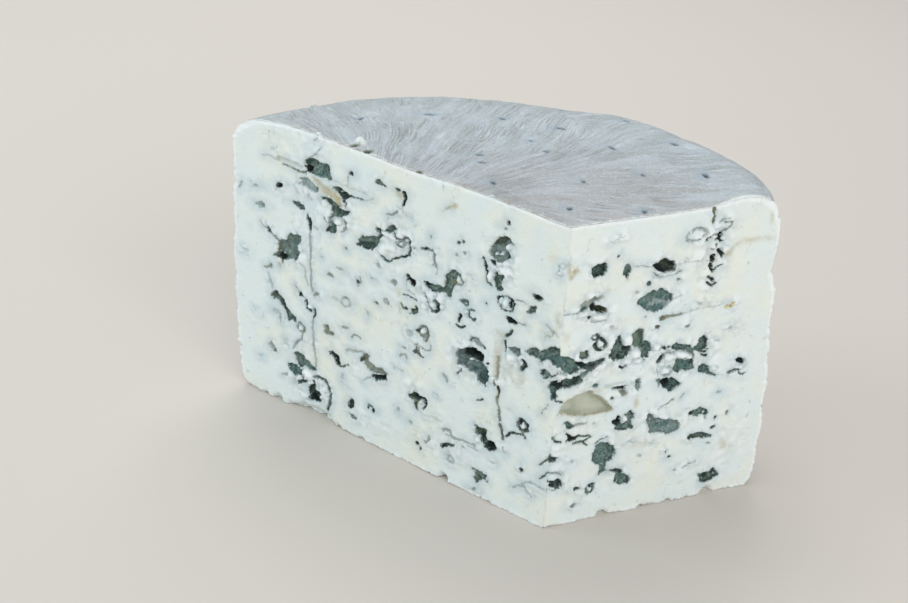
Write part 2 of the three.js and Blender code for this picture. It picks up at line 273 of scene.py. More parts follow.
# The nearest point of a straight line: its share of the way, and how far away it is
def nearestOnLine(s, z, start, end):
    (s0, z0), (s1, z1) = start, end
    square = (s1 - s0) ** 2 + (z1 - z0) ** 2
    t = np.clip(((s - s0) * (s1 - s0) + (z - z0) * (z1 - z0)) / max(square, 1e-9), 0, 1)
    return t, np.hypot(s - s0 - t * (s1 - s0), z - z0 - t * (z1 - z0))


def lineDistance(s, z, width, points):
    first, last = width if isinstance(width, tuple) else (width, width)
    best = np.full(s.shape, -99.0)
    count = len(points) - 1
    for k in range(count):
        t, away = nearestOnLine(s, z, points[k], points[k + 1])
        best = np.maximum(best, (first + (k + t) / count * (last - first)) / 2 - away)
    return best


def insideOutline(x, y, outline):
    inside = np.zeros(x.shape, bool)
    for (x0, y0), (x1, y1) in zip(outline, np.roll(outline, -1, 0)):
        if y0 != y1:
            crosses = (y0 > y) != (y1 > y)
            inside[crosses] ^= x[crosses] < (x1 - x0) * (y[crosses] - y0) / (y1 - y0) + x0
    return inside


def areaDistance(s, z, points):
    away = np.full(s.shape, 99.0)
    for start, end in zip(points, points[1:] + points[:1]):
        away = np.minimum(away, nearestOnLine(s, z, start, end)[1])
    return np.where(insideOutline(s, z, points), away, -away)


def markExtent(mark):
    if "blob" in mark or "ring" in mark:
        along, up, wide, high = (mark.get("blob") or mark["ring"])[:4]
        half = max(wide, high) / 2
        return along - half, along + half, up - half, up + half, min(wide, high) / 2
    points = mark["area"] if "area" in mark else mark["line"][1]
    s, z = [p[0] for p in points], [p[1] for p in points]
    if "area" in mark:
        return min(s), max(s), min(z), max(z), 1.6
    half = np.max(mark["line"][0]) / 2
    return min(s) - half, max(s) + half, min(z) - half, max(z) + half, half


def markDistance(mark, s, z):
    if "blob" in mark:
        return blobDistance(s, z, *mark["blob"])
    if "ring" in mark:
        *shape, thick = mark["ring"]
        return thick / 2 - np.abs(blobDistance(s, z, *shape))
    if "line" in mark:
        return lineDistance(s, z, *mark["line"])
    return areaDistance(s, z, mark["area"])


# What each kind of mark does: its depth, its darkness (its own dark colour, with painted shade in the deeper
# holes), its tone from -2 brown over -1 olive to 1 teal, how far it shows, and the share of crumbs left inside
markKinds = {
    "faint": {"deep": 0.35, "dark": 0.05, "tone": 0.1, "show": 0.45, "crumbs": 0.5},
    "mould": {"deep": 1.3, "dark": 0.1, "crumbs": 0.9},
    "teal": {"deep": 1.5, "dark": 0.15, "tone": 1.0, "crumbs": 0.7},
    "dark": {"deep": 2.2, "dark": 0.55, "crumbs": 0.3},
    "olive": {"deep": 1.0, "dark": 0.15, "tone": -1.0, "show": 0.85, "crumbs": 0.4},
    # holes that are painted near-black: painted shade in them together with dark mould
    "pit": {"deep": 3.6, "dark": 0.95},
    "vein": {"deep": 0.6, "dark": 0.45, "show": 0.8, "grow": 0.04},
    "crack": {"deep": 0.3, "dark": 0.1, "tone": -1.5, "show": 0.5},
    "tan": {"deep": 0.0, "stain": 0.45},
    "bowl": {"deep": 2.6, "stain": 2.0},
    "white": {"deep": -0.9},
    "crumbly": {},
}

longCutMarks, shortCutMarks = {}, {}
longCutMarks["pit"] = (
    blob(22.2, 96.6, 1.4, 1.8), line((0.9, 0.6), 22.6, 88.5, 20.6, 85.9, 21.6, 85.2),
    blob(9.6, 76.8, 3.3, 1.9, 8, deep=2.4), blob(18.8, 71.3, 1.7, 1.8, deep=2), blob(18.1, 66.2, 4, 1.9, 6, deep=3.2),
    line((1.3, 0.8), 38.1, 60.9, 38.8, 58.6), blob(28.1, 68.4, 0.9, 0.8, deep=0.8), blob(25.8, 48.8, 1, 0.9, deep=1.4),
    area(36.8, 49.2, 34.5, 51.1, 31.9, 52, 28.1, 51.4, 27.6, 48.8, 29.4, 47.9, 33.2, 48.2, 35.2, 48.5, deep=6.5),
    area(3.2, 49.8, 1, 51.8, -1, 52.4, -1, 49.2, 1.4, 49, deep=3.4), blob(85, 95.2, 2.1, 1.2, deep=2),
    line((1.2, 1), 62.9, 94.7, 62.1, 93.2, 62.9, 90.9, deep=2.4),
    line((1.3, 2.2), 60, 67.3, 58.6, 66.6, 57.2, 65.8, deep=2.8), blob(51.6, 67.6, 2.5, 1.9, deep=3),
    blob(46.8, 60.9, 1.3, 1.5, deep=1.6), blob(59.9, 56.1, 1.2, 1), blob(53.4, 78.8, 1.8, 0.8, deep=1.2),
    area(106.8, 92.2, 104, 92.5, 102.6, 91.9, 104.4, 90.4, 105.6, 89.4, 105.4, 91, deep=3),
    blob(118, 82.1, 3.4, 1.7, -18, deep=2.8),
    area(117.6, 57.6, 115.4, 57.6, 115, 56, 116.2, 55.2, 117.4, 55.9, 119, 56.1, deep=4.2),
    line((0.9, 0.4), 116.3, 55.6, 116.3, 53.7),
    area(108.9, 45.9, 107, 46.3, 105.4, 45.4, 105.6, 44.2, 107.6, 44.5, deep=2.8),
    blob(12.1, 33.2, 1.6, 1.5, deep=1.8), blob(9.9, 17.3, 1, 1.6, deep=1.4),
    area(25.4, 19, 24.9, 21.5, 23.8, 22.4, 22, 22.3, 20.4, 20.9, 20.7, 19.5, 22.8, 18.6, 25, 18.6, deep=5),
    line((2.1, 2.3), 92, 28, 90.4, 27.2, 89.9, 25.4, deep=3.4),
    line((1.6, 1.8), 72.8, 26.7, 70.8, 26.8, 68.2, 27.7, deep=3.8),
    line((1.5, 2), 55.4, 25.7, 53, 26, 50.6, 26.1, deep=4.4), line(0.7, 50.3, 25, 50, 24.2, 50.8, 23),
    blob(72.7, 13.6, 1.6, 1.1, deep=1.4), blob(53, 9, 1.6, 1.2, deep=1.8), blob(94, 5.5, 1, 1.6, deep=1.2),
    area(102.4, 8.7, 99.5, 8.9, 97.4, 8.5, 96.9, 7.3, 98.4, 6.3, 101.8, 6.2, 103.7, 5.8, 102.6, 7.4, deep=5),
)
longCutMarks["dark"] = (
    area(26.9, 88.2, 26.5, 89.6, 24.8, 91.4, 22.6, 92.1, 22.3, 91, 23.4, 90, 23.8, 88.4, 25.4, 87.8, deep=2, dark=0.4,
        tone=-0.5),
    line((0.9, 0.7), 30.2, 82.9, 29.6, 81, 28.7, 80.4), blob(26.4, 82.6, 2.2, 1.4, dark=0.4),
    line((0.8, 0.6), 29.7, 80.7, 28.5, 79, 28.4, 75.6, 26.5, 75.2),
    line(0.6, 33.4, 53.9, 32.9, 55.2, 30.6, 55.3, 27.4, 53.4),
    line((1.3, 1.5), 12.9, 54.6, 11.9, 53.3, 13.2, 51.7, dark=0.5), line((1, 0.7), 20, 58.5, 19.7, 55.2),
    ring(4.4, 53.2, 3, 2.8, 0, 0.6), line(0.6, 39.4, 57.5, 37.7, 57, 35.8, 58.1),
    line(0.9, 17.7, 63, 18.4, 61.7, 20, 60.4, dark=0.4), blob(40.3, 84.8, 1.3, 1.1, dark=0.4),
    blob(38.5, 85.6, 1.1, 0.9, dark=0.4), line(0.5, 2.2, 53, 0, 54.6),
    area(90.4, 88.4, 86.8, 87.9, 85.4, 87.1, 87, 86, 88.6, 85.5, 89.8, 86.3, deep=3, dark=0.5),
    line((0.9, 0.5), 88, 85.3, 86.8, 84.3, 87.2, 83.3),
    area(92.4, 81.9, 90, 81.8, 87.6, 81.8, 85, 81.9, 87.3, 80.5, 88.8, 79.2, 90.6, 79.2, 92.2, 79.6, dark=0.42,
        deep=2.6),
    blob(66.8, 81.6, 2.6, 1.4, -20, dark=0.4),
    area(81.6, 72.2, 79.6, 73.5, 77, 73.8, 74.4, 73.6, 74.5, 72.1, 77.6, 71.5, 80, 71.5, dark=0.5, deep=2.2),
    line((1.2, 1.1), 72.6, 77, 71.5, 78.2, 72.1, 79.5, 73.6, 79.4, dark=0.35),
    line((0.7, 1.1), 60, 80.4, 59.7, 78.8, 59.2, 76.6, 59.6, 74.7), blob(55.9, 56.9, 1.6, 2.8, 10, dark=0.45),
    blob(81.2, 58.5, 1.8, 1.3, dark=0.4), blob(72.8, 53.7, 1.9, 1, dark=0.3, show=0.7),
    blob(55, 49.9, 1.6, 1.3, dark=0.4), blob(45.7, 67.6, 1.4, 1.2, dark=0.4),
    line(0.5, 61.2, 60.5, 58.9, 60.7, 55.2, 60.5), blob(97.4, 93, 3.4, 2.2, dark=0.36),
    area(105, 76, 104, 74.7, 102.4, 73.6, 102.8, 71.6, 103.4, 70, 104.1, 71, 104.4, 72.8, 105.1, 74, dark=0.42),
    blob(109.2, 77.2, 4.2, 1, 5, dark=0.35),
    area(124.6, 65, 123, 65.6, 121.8, 64, 122.4, 63.4, 123.8, 64, dark=0.6, deep=1.8),
    blob(127, 72.3, 2.6, 1.1, -8, dark=0.3, show=0.8),
    line((1, 0.9), 118, 60, 118.4, 58.4, 118.2, 57.2, tone=-0.8, dark=0.4), blob(95, 72.9, 2.8, 1.1, -10, dark=0.4),
    area(27.2, 22.8, 26, 24, 24.9, 23.4, 24.8, 21.6, 25.6, 20.5, 26.6, 21.7, dark=0.5, deep=2.8),
    line((1, 0.8), 21.4, 42.5, 21.1, 39.6, 21.6, 38.2, dark=0.35, tone=-1.2, deep=1),
    line((0.8, 1.1), 19.8, 29.6, 18.8, 27.1, 18.2, 25, dark=0.4, tone=-1.1, deep=1, show=0.85),
    line((0.5, 0.7), 29.1, 34.5, 28, 35, 27, 35.6), blob(32.2, 43.9, 1.8, 1.1, dark=0.35, tone=0.6),
    line(0.4, 35.8, 43.3, 37.6, 41),
    area(30.2, 44.8, 28, 45.2, 25.8, 44.8, 25.2, 43, 26.7, 41.6, 26.2, 40.3, 27.6, 41.2, 29.8, 42.5, dark=0.35,
        tone=1, deep=2.8),
    area(121.8, 40, 120.9, 42.4, 119.1, 42.7, 118, 41.2, 118.6, 39.8, dark=0.42, tone=-0.7, deep=2.2),
    line((1.9, 1.4), 117.4, 40, 115.8, 39, 114.4, 37.6, dark=0.32, tone=0.6),
    line((1.5, 1.1), 104.7, 43.3, 104.1, 41.6, 102.4, 41.1, dark=0.4),
    line((1.2, 0.7), 100.6, 41.6, 100.4, 40.2, 101.2, 38.4, dark=0.3), blob(108.2, 21.2, 4, 1.5, dark=0.3),
    area(100.4, 15, 100.8, 13.2, 101.4, 12.5, 102.9, 12, 103.6, 9.8, 103, 8, 100, 8.4, 97.8, 9.2, 97.2, 10.7, 98.9,
        10.4, 100.1, 11.2, 99.8, 13, dark=0.42, deep=3.2),
    line((0.7, 1.2), 107, 14.7, 105.6, 13.8, 105.8, 12.4, 108, 11.2, dark=0.3),
    area(84.5, 11.1, 84.2, 13.1, 82.4, 14.3, 81.3, 13.6, 81.6, 11.9, 83, 10.2, 84.1, 10.2, dark=0.36, tone=-0.3),
    area(58.3, 25.8, 56.3, 26.5, 54.7, 27.4, 51.6, 27.2, 50, 26.5, 49, 24.8, 50, 24.1, 50.5, 25.2, 52.4, 25, 53.6,
        24.6, 55.2, 24.7, 56.9, 25, dark=0.5, tone=-0.6, deep=3),
    blob(78.8, 30.7, 1.3, 1.6, dark=0.35, tone=-0.8),
    line((1.6, 0.7), 42.2, 12.4, 41.2, 13, 39.6, 14, 37.4, 14.4, dark=0.35, tone=-0.5),
    blob(51.3, 7.8, 1, 1.2, dark=0.4), blob(92.6, 35.7, 1.8, 1.1, dark=0.3, tone=-0.9),
    line((0.7, 0.4), 89.9, 24.7, 88.8, 24.3, 87.4, 24.7, 86.1, 25.8, 84.1, 26.7, dark=0.45),
    blob(93.2, 27.8, 1.4, 1.3, dark=0.45), line((0.8, 0.5), 101.6, 85.2, 99.6, 85.4, dark=0.4),
)
longCutMarks["mould"] = (
    area(22.3, 92.2, 19.8, 90, 21.4, 90.3, 22.6, 88.1, 20.6, 85.9, 21.6, 84.8, 23.2, 83.2, 25.2, 83.5, 27.7, 84.8,
        28.5, 85.7, 27.1, 87.9, 26.5, 89.5, 24.8, 91.5, show=0.85),
    blob(23.4, 94.5, 1.2, 0.8, show=0.6),
    area(25.4, 80.6, 23.5, 79.4, 21.7, 79.7, 22.9, 78.1, 22, 75.1, 23.9, 74.2, 25, 74.5, 25.4, 76, 26.4, 77.2, 25.8,
        79),
    blob(7.9, 77, 1.6, 1.2, show=0.7), ring(20.7, 71, 6.2, 4.6, 0, 0.6, dark=0.3), blob(22.6, 69.8, 2, 1.2, show=0.5),
    area(12.8, 71.3, 11.3, 73.2, 9.4, 73.5, 9.4, 72, 10.5, 70.9, 12.3, 70.7),
    area(38.6, 65.8, 36.8, 67.2, 34.6, 66.9, 34.8, 65, 36.5, 65, show=0.9),
    line((1.1, 0.8), 34.9, 63.9, 34.6, 61.7, 32.9, 61, 31.9, 62), line(0.6, 34, 64.3, 32.6, 64.3),
    line((1.1, 0.7), 48.1, 62.8, 46.5, 62, 46, 60.6, 47, 59.5, 48.8, 59.1, 50.4, 60.2, dark=0.4),
    area(42.3, 75.3, 40.2, 75.2, 39.9, 73.6, 40.4, 72.2, 40.3, 71.2, 41.3, 70, 41.6, 68.6, 41.9, 66.4, 42.4, 65, 43.5,
        65.4, 44.3, 66.7, 46.1, 66.5, 47.4, 65.8, 50, 65.6, 51, 66.4, 50, 67.6, 47.4, 67.6, 45.2, 68.2, 44.6, 70.7,
        44.9, 72.6, 43.4, 73.9, tone=0.2),
    line((0.8, 0.6), 40.3, 74.6, 38.6, 73.8, 37.7, 72.6, 38.1, 71.4, 39.7, 71, show=0.8),
    line(0.6, 50, 74.4, 49, 76, 49.2, 78, 50, 79.6, show=0.6), blob(37.5, 82.3, 1.2, 1, show=0.5),
    blob(41, 80.5, 1.2, 0.9, show=0.5), line((1.4, 1.6), 33, 54.7, 31, 54.6, 28.8, 53.8, show=0.6),
    area(39, 48.5, 37.6, 49.8, 35.3, 49.9, 34.4, 48.6, 31, 47.8, 27.8, 48, 26.4, 47.6, 25.6, 46.8, 25.4, 44.8, 25.1,
        43, 26.9, 41.8, 26.3, 40.2, 28, 41, 29.8, 42.5, 30.8, 43.4, 32.7, 43.3, 35.5, 44.5, 38.2, 44.4, 37.9, 45.8,
        deep=3, show=0.82, tone=0.9),
    area(19, 56.8, 16.8, 58, 14.5, 57.8, 13.8, 56.2, 14.4, 55.2, 16.6, 55.8, show=0.8),
    blob(4.4, 53.2, 2.8, 2.6, show=0.8), area(3.4, 49, 2.2, 50, 0, 50, -2, 49, -1, 45.8, 1.4, 46, 1.9, 48.1, tone=0.6),
    area(12.4, 57.6, 11.3, 59.4, 9.4, 60.2, 5.5, 60.8, 2.3, 63, -3, 63.6, -4, 57, 0, 56.6, 2.3, 57.3, 4.8, 57.9, 6.1,
        56.4, 7.4, 57.4, 10, 57.4, deep=2.2, tone=0.3, dark=0.2),
    area(93.8, 88.2, 90.2, 88.8, 86.6, 88.3, 85.2, 87.5, 79.8, 87.9, 79.8, 87.5, 85.2, 86.9, 86.8, 85.9, 88.6, 85.3,
        89.6, 86, 91.1, 87, dark=0.3, deep=2.4, fray=0.15),
    area(93.2, 82.6, 90.2, 82.2, 87.6, 82, 84.8, 82, 86.4, 80.7, 88, 79.4, 88.4, 78.6, 90.5, 78.7, 92.8, 78.6, 93.4,
        80, dark=0.2),
    line((0.9, 0.7), 88.4, 78.6, 87, 77.2, 87.3, 75.3, 88.6, 74, show=0.6),
    line((0.9, 1.1), 92.6, 79.2, 93.8, 77.4, 93.4, 75.6, show=0.8),
    area(96.4, 72, 95.3, 73.4, 94.1, 74.4, 93.8, 75.8, 91.3, 75.8, 90.9, 74.3, 91.6, 72.2, tone=0.9),
    line(0.8, 96.7, 76.7, 95.3, 75.7, 94, 74.7, show=0.8),
    area(82.9, 71.2, 81.3, 72.2, 81.5, 73.8, 79.5, 75.4, 76.3, 76.2, 72.8, 77.1, 72.3, 75.6, 73.4, 73.7, 74.4, 72,
        77.6, 71.3, tone=-0.1),
    blob(73.4, 95.7, 2.4, 1.7), line((0.9, 0.4), 72.3, 95.4, 70.2, 94.6),
    blob(65.2, 95.1, 2.2, 0.9, dark=0.4, tone=-0.6),
    area(71.4, 79.6, 69.5, 80.2, 69.3, 81.7, 67.4, 82.8, 65, 82.6, 66.5, 80.7, 67.9, 79.8, dark=0.15),
    line((0.7, 0.9), 66.3, 80.3, 64.7, 79.2, 62.8, 79, 61.5, 80.1, 59.9, 80.5, dark=0.3, show=0.8),
    line((0.8, 0.5), 64.7, 77.2, 63.4, 76.9, 61.8, 77.2, 60.8, 78.8, dark=0.35), blob(62.4, 78, 3.4, 1.8, show=0.5),
    line((0.9, 0.6), 59.6, 74.7, 61.5, 73.7, 64.1, 72.4, 66.3, 71.1, 67.9, 70.1, 69.5, 70, 71.2, 71.1, dark=0.4,
        fray=0.6),
    line((0.9, 0.5), 54.5, 78.6, 52.2, 79, 50.5, 79.3, 49.4, 78.8, 49.9, 77.2, 49.3, 75.3, 48.5, 74.1, show=0.75),
    area(52.8, 67.3, 51.2, 65.9, 48.6, 65.9, 45, 66.7, 44.8, 68, 48.6, 67.8, 51, 68.4, dark=0.15),
    area(58.9, 57, 57.6, 56.6, 56.3, 57.6, 55.5, 58.6, 55, 56.6, 56.2, 55.2, 58, 55.6, dark=0.25),
    line((0.9, 0.6), 62.2, 56.8, 61, 55.8, 59.4, 56.2, dark=0.3, show=0.8), line(0.4, 58.4, 54.8, 57.2, 55.3),
    area(55.6, 50, 53.8, 52.2, 52.2, 52.5, 50.5, 51.2, 50.1, 49.5, 50.9, 47.6, 52.5, 48.2, 54.4, 48.5, show=0.6,
        tone=-0.5),
    area(105.4, 95, 102.5, 96.1, 100, 95.3, 97, 95.4, 95, 95.5, 94.5, 92.5, 93.2, 90.2, 96.5, 90.5, 100, 90.2, 103.5,
        90.3, 105.5, 91, 106.6, 92.5, 105.9, 94, tone=0.2, deep=1.8),
    area(109.4, 85, 107.4, 86.2, 108.8, 87.4, 105.7, 88.2, 103, 87.2, 99.6, 86.5, 99.2, 85, 101.7, 84.2, 105, 85,
        show=0.55, tone=0.4),
    area(98.9, 83, 96.3, 84.3, 93, 83.4, 89.6, 82.4, 90, 79, 92.3, 79.2, 93.3, 81.2, 96.3, 83.1),
    area(112.5, 78, 109.7, 78.5, 105.5, 77.6, 106.7, 76.3, 109, 76.2, 111, 77.2, dark=0.15),
    blob(127.2, 72.4, 4.6, 2.2, -8, show=0.45),
    area(117.8, 62.4, 115, 63, 114, 65, 111.7, 66.4, 108.3, 66.8, 107.6, 65.7, 108.4, 63.7, 108.7, 61.7, 108, 60.3,
        109, 58.3, 110, 56.6, 112.3, 57.3, 114.3, 56, 116, 55.3, 117.3, 56, 119.7, 55.7, 121.2, 55.8, 119.7, 56.7,
        118.1, 58.3, 118.4, 59.8, tone=0.2, show=0.88, deep=1.8),
    line((1, 0.8), 121.7, 63.7, 119.7, 62.9, 117.7, 62, tone=-0.7, show=0.7),
    area(97, 38.2, 94.1, 38.1, 93.2, 36.7, 91.7, 35.9, 92.3, 34.9, 95.2, 34.6, 96.1, 35.3, 94.8, 36.4, 96, 37.3,
        show=0.7, tone=-0.8),
    area(30.3, 25.5, 26.9, 25, 24.2, 25.2, 24.8, 23.4, 24, 22.2, 22.3, 22.3, 20.4, 20.8, 20.8, 19.5, 22.8, 18.5, 25.1,
        18.7, 25.9, 17.8, 25.5, 19.6, 26.7, 21.7, 27.3, 22.8, 28.9, 22.1, 29.3, 23.1, 28.6, 24.3, tone=-0.4, deep=2.2),
    area(30.3, 9.9, 28.3, 9.3, 23.3, 9.6, 23.7, 8.4, 22.4, 7.1, 24.6, 7.2, 26, 6.3, 27.2, 4.5, 27.8, 5.8, 28.4, 6.6,
        27.8, 7.8, 28.7, 8.9, tone=-0.3, dark=0.2),
    ring(11.1, 32.6, 3.9, 3.5, 0, 0.9, dark=0.3), blob(13, 32.4, 1.3, 2.2, show=0.8),
    line((0.7, 0.9), 11.6, 29.2, 13.6, 28.8, 15.3, 28.6, 16.2, 27.1, 16.9, 26.2, tone=-0.5, dark=0.25),
    line((0.5, 0.9), 3.4, 21.8, 1.8, 24, 0, 25.6, -2, 27.2),
    line(0.5, 3.2, 17, 1.4, 18.8, 0, 20.2, -2, 21.1, dark=0.4),
    area(79.1, 30.5, 78.6, 31.8, 78, 33.4, 75.2, 33.5, 75.8, 31.9, 74.4, 30.9, 72.4, 30.3, 69.1, 30.7, 67.1, 29.5,
        67.2, 28.5, 70.2, 28.6, 73, 28, 75.8, 28.3, 77.4, 29.4, tone=-0.9, show=0.75, deep=1.6),
    area(74.2, 26, 73, 27.3, 70.8, 27.6, 68.6, 28.4, 67, 28.4, 67.2, 27, 69.1, 26.7, 70.8, 26, 71.4, 25.4, dark=0.4),
    line((1, 0.6), 53.2, 24.6, 54, 23.2, 53.2, 21.5, tone=-0.9, show=0.85),
    line((1.5, 1), 54.4, 24.6, 53.8, 22, tone=-0.8), line((0.9, 0.6), 74.9, 13.9, 74.7, 15, 73.3, 14.9, 72.4, 14),
    line((0.9, 1.1), 83.3, 8.1, 81.9, 7.5, 80.2, 7.5, show=0.8),
    line((1.2, 1.1), 100.1, 15.9, 97.8, 16.6, 95.8, 16.2, 94.1, 15.3, 93, 13.4, 92.6, 11.1, 93.2, 7.8, 93.9, 5.6,
        dark=0.15, show=0.9),
    area(122.4, 39.9, 120.9, 42.6, 119.1, 42.9, 118, 41.4, 116.3, 40.8, 115, 39.6, 114.2, 38.1, 112.5, 36.8, 109.8,
        35.5, 109.9, 33.8, 111.6, 34.1, 113.5, 33.1, 113.9, 35.2, 114.8, 37.4, 116.8, 37.7, 118.9, 39.5, 120.9, 39.5,
        tone=0.2),
    ring(107.3, 32.7, 3.6, 3, 0, 0.9, show=0.55, tone=-0.6),
    area(110.9, 21.4, 108.7, 22.3, 106.4, 22.3, 104.1, 21.1, 102.4, 21.5, 102, 20.5, 103.5, 19.7, 100, 19.2, 100,
        18.1, 103.5, 17.9, 106.4, 18.4, 107, 17.2, 109.3, 17.9, 110.3, 19.6, tone=0.3),
    area(113.9, 16.2, 111.6, 16.8, 109.3, 17.4, 107, 16.3, 106.9, 14.7, 109.3, 13.2, 111.6, 13.2, 113.5, 14.4,
        tone=0.8),
    blob(105.4, 12.6, 2.4, 1.4, dark=0.2),
)
longCutMarks["teal"] = (
    blob(2, 58.8, 7, 2.2, -6), blob(98.6, 91.8, 5, 2), blob(111.8, 62.4, 4, 3, show=0.9),
    line((1.6, 1.1), 113.6, 36.8, 111.4, 35), blob(37.4, 47.8, 2, 2.4, show=0.8), blob(92.4, 74.4, 2, 2),
    line(0.6, 1.4, 45.6, 1.2, 46.8, -0.3, 45.9, -1.4, 46.5, dark=0.4),
)
longCutMarks["olive"] = (
    blob(41.8, 70.7, 2, 2.4, tone=-1.6),
    area(56.4, 41.7, 55.8, 43.4, 54.4, 43.7, 53, 42.5, 51.5, 41, 53.6, 41.6, 55.2, 41.6, tone=-1.1, dark=0.25),
    line((1.5, 1.1), 51.6, 51.8, 50.6, 50, 51.2, 47.7, tone=-1.7, show=0.7),
    line((0.6, 0.8), 116.5, 89.9, 113, 89.8, 108.3, 89.5, 105.7, 90, tone=-1.3, show=0.75),
    line((1.7, 1.3), 119, 91.2, 114, 91.4, 108, 91.2, tone=-1.6, show=0.14), blob(100, 47.7, 2.6, 1.3, -12, show=0.7),
    line((0.8, 1.3), 125.4, 49.8, 123.7, 50.4, 122.3, 51.3, show=0.65),
    area(123.8, 20.2, 122, 21.9, 119.6, 20, 119.9, 18.7, 122, 18.8, tone=-1.2, show=0.4),
    blob(120.3, 19.1, 1.9, 1.1, tone=-1.3, show=0.8),
    line((1.2, 1.5), 22.2, 52, 22, 48, 22.1, 45, tone=-1.9, show=0.3),
    line((0.6, 0.9), 22.8, 43.8, 22.6, 42.6, tone=-1.2),
    line((0.9, 1.1), 21.7, 38.1, 21.1, 35.8, 20.2, 33.5, 19.7, 31.2, tone=-1.2, show=0.7, deep=0.7),
    line((1.1, 0.8), 11.4, 30.6, 10.7, 29.3, 9.5, 28.6, tone=-1.2),
    line((1.2, 0.9), 69.8, 30.2, 68.4, 29.9, 67, 29.4, tone=-1.8, show=0.6), blob(65.3, 63.7, 2.5, 1.7, show=0.5),
    blob(89.5, 60.5, 2.6, 1.1, show=0.4), blob(93.9, 57, 2.9, 1.3, 8, show=0.65),
    blob(86.9, 68.7, 1.5, 1.2, tone=-1.4, show=0.45),
    line((1, 0.8), 106.4, 30.3, 107, 28.3, 109, 26.6, 110.5, 24.8, 111.3, 23.1, tone=-0.7, show=0.45),
    line((0.8, 0.6), 74.1, 25.8, 75.8, 24.7, 77.4, 23.3, show=0.3), line((1, 0.8), 113.9, 11.8, 116.3, 11, show=0.35),
    line((0.9, 0.7), 85.4, 31.9, 82.4, 32.3, 80, 33.2, 77.6, 33.6, show=0.4),
)
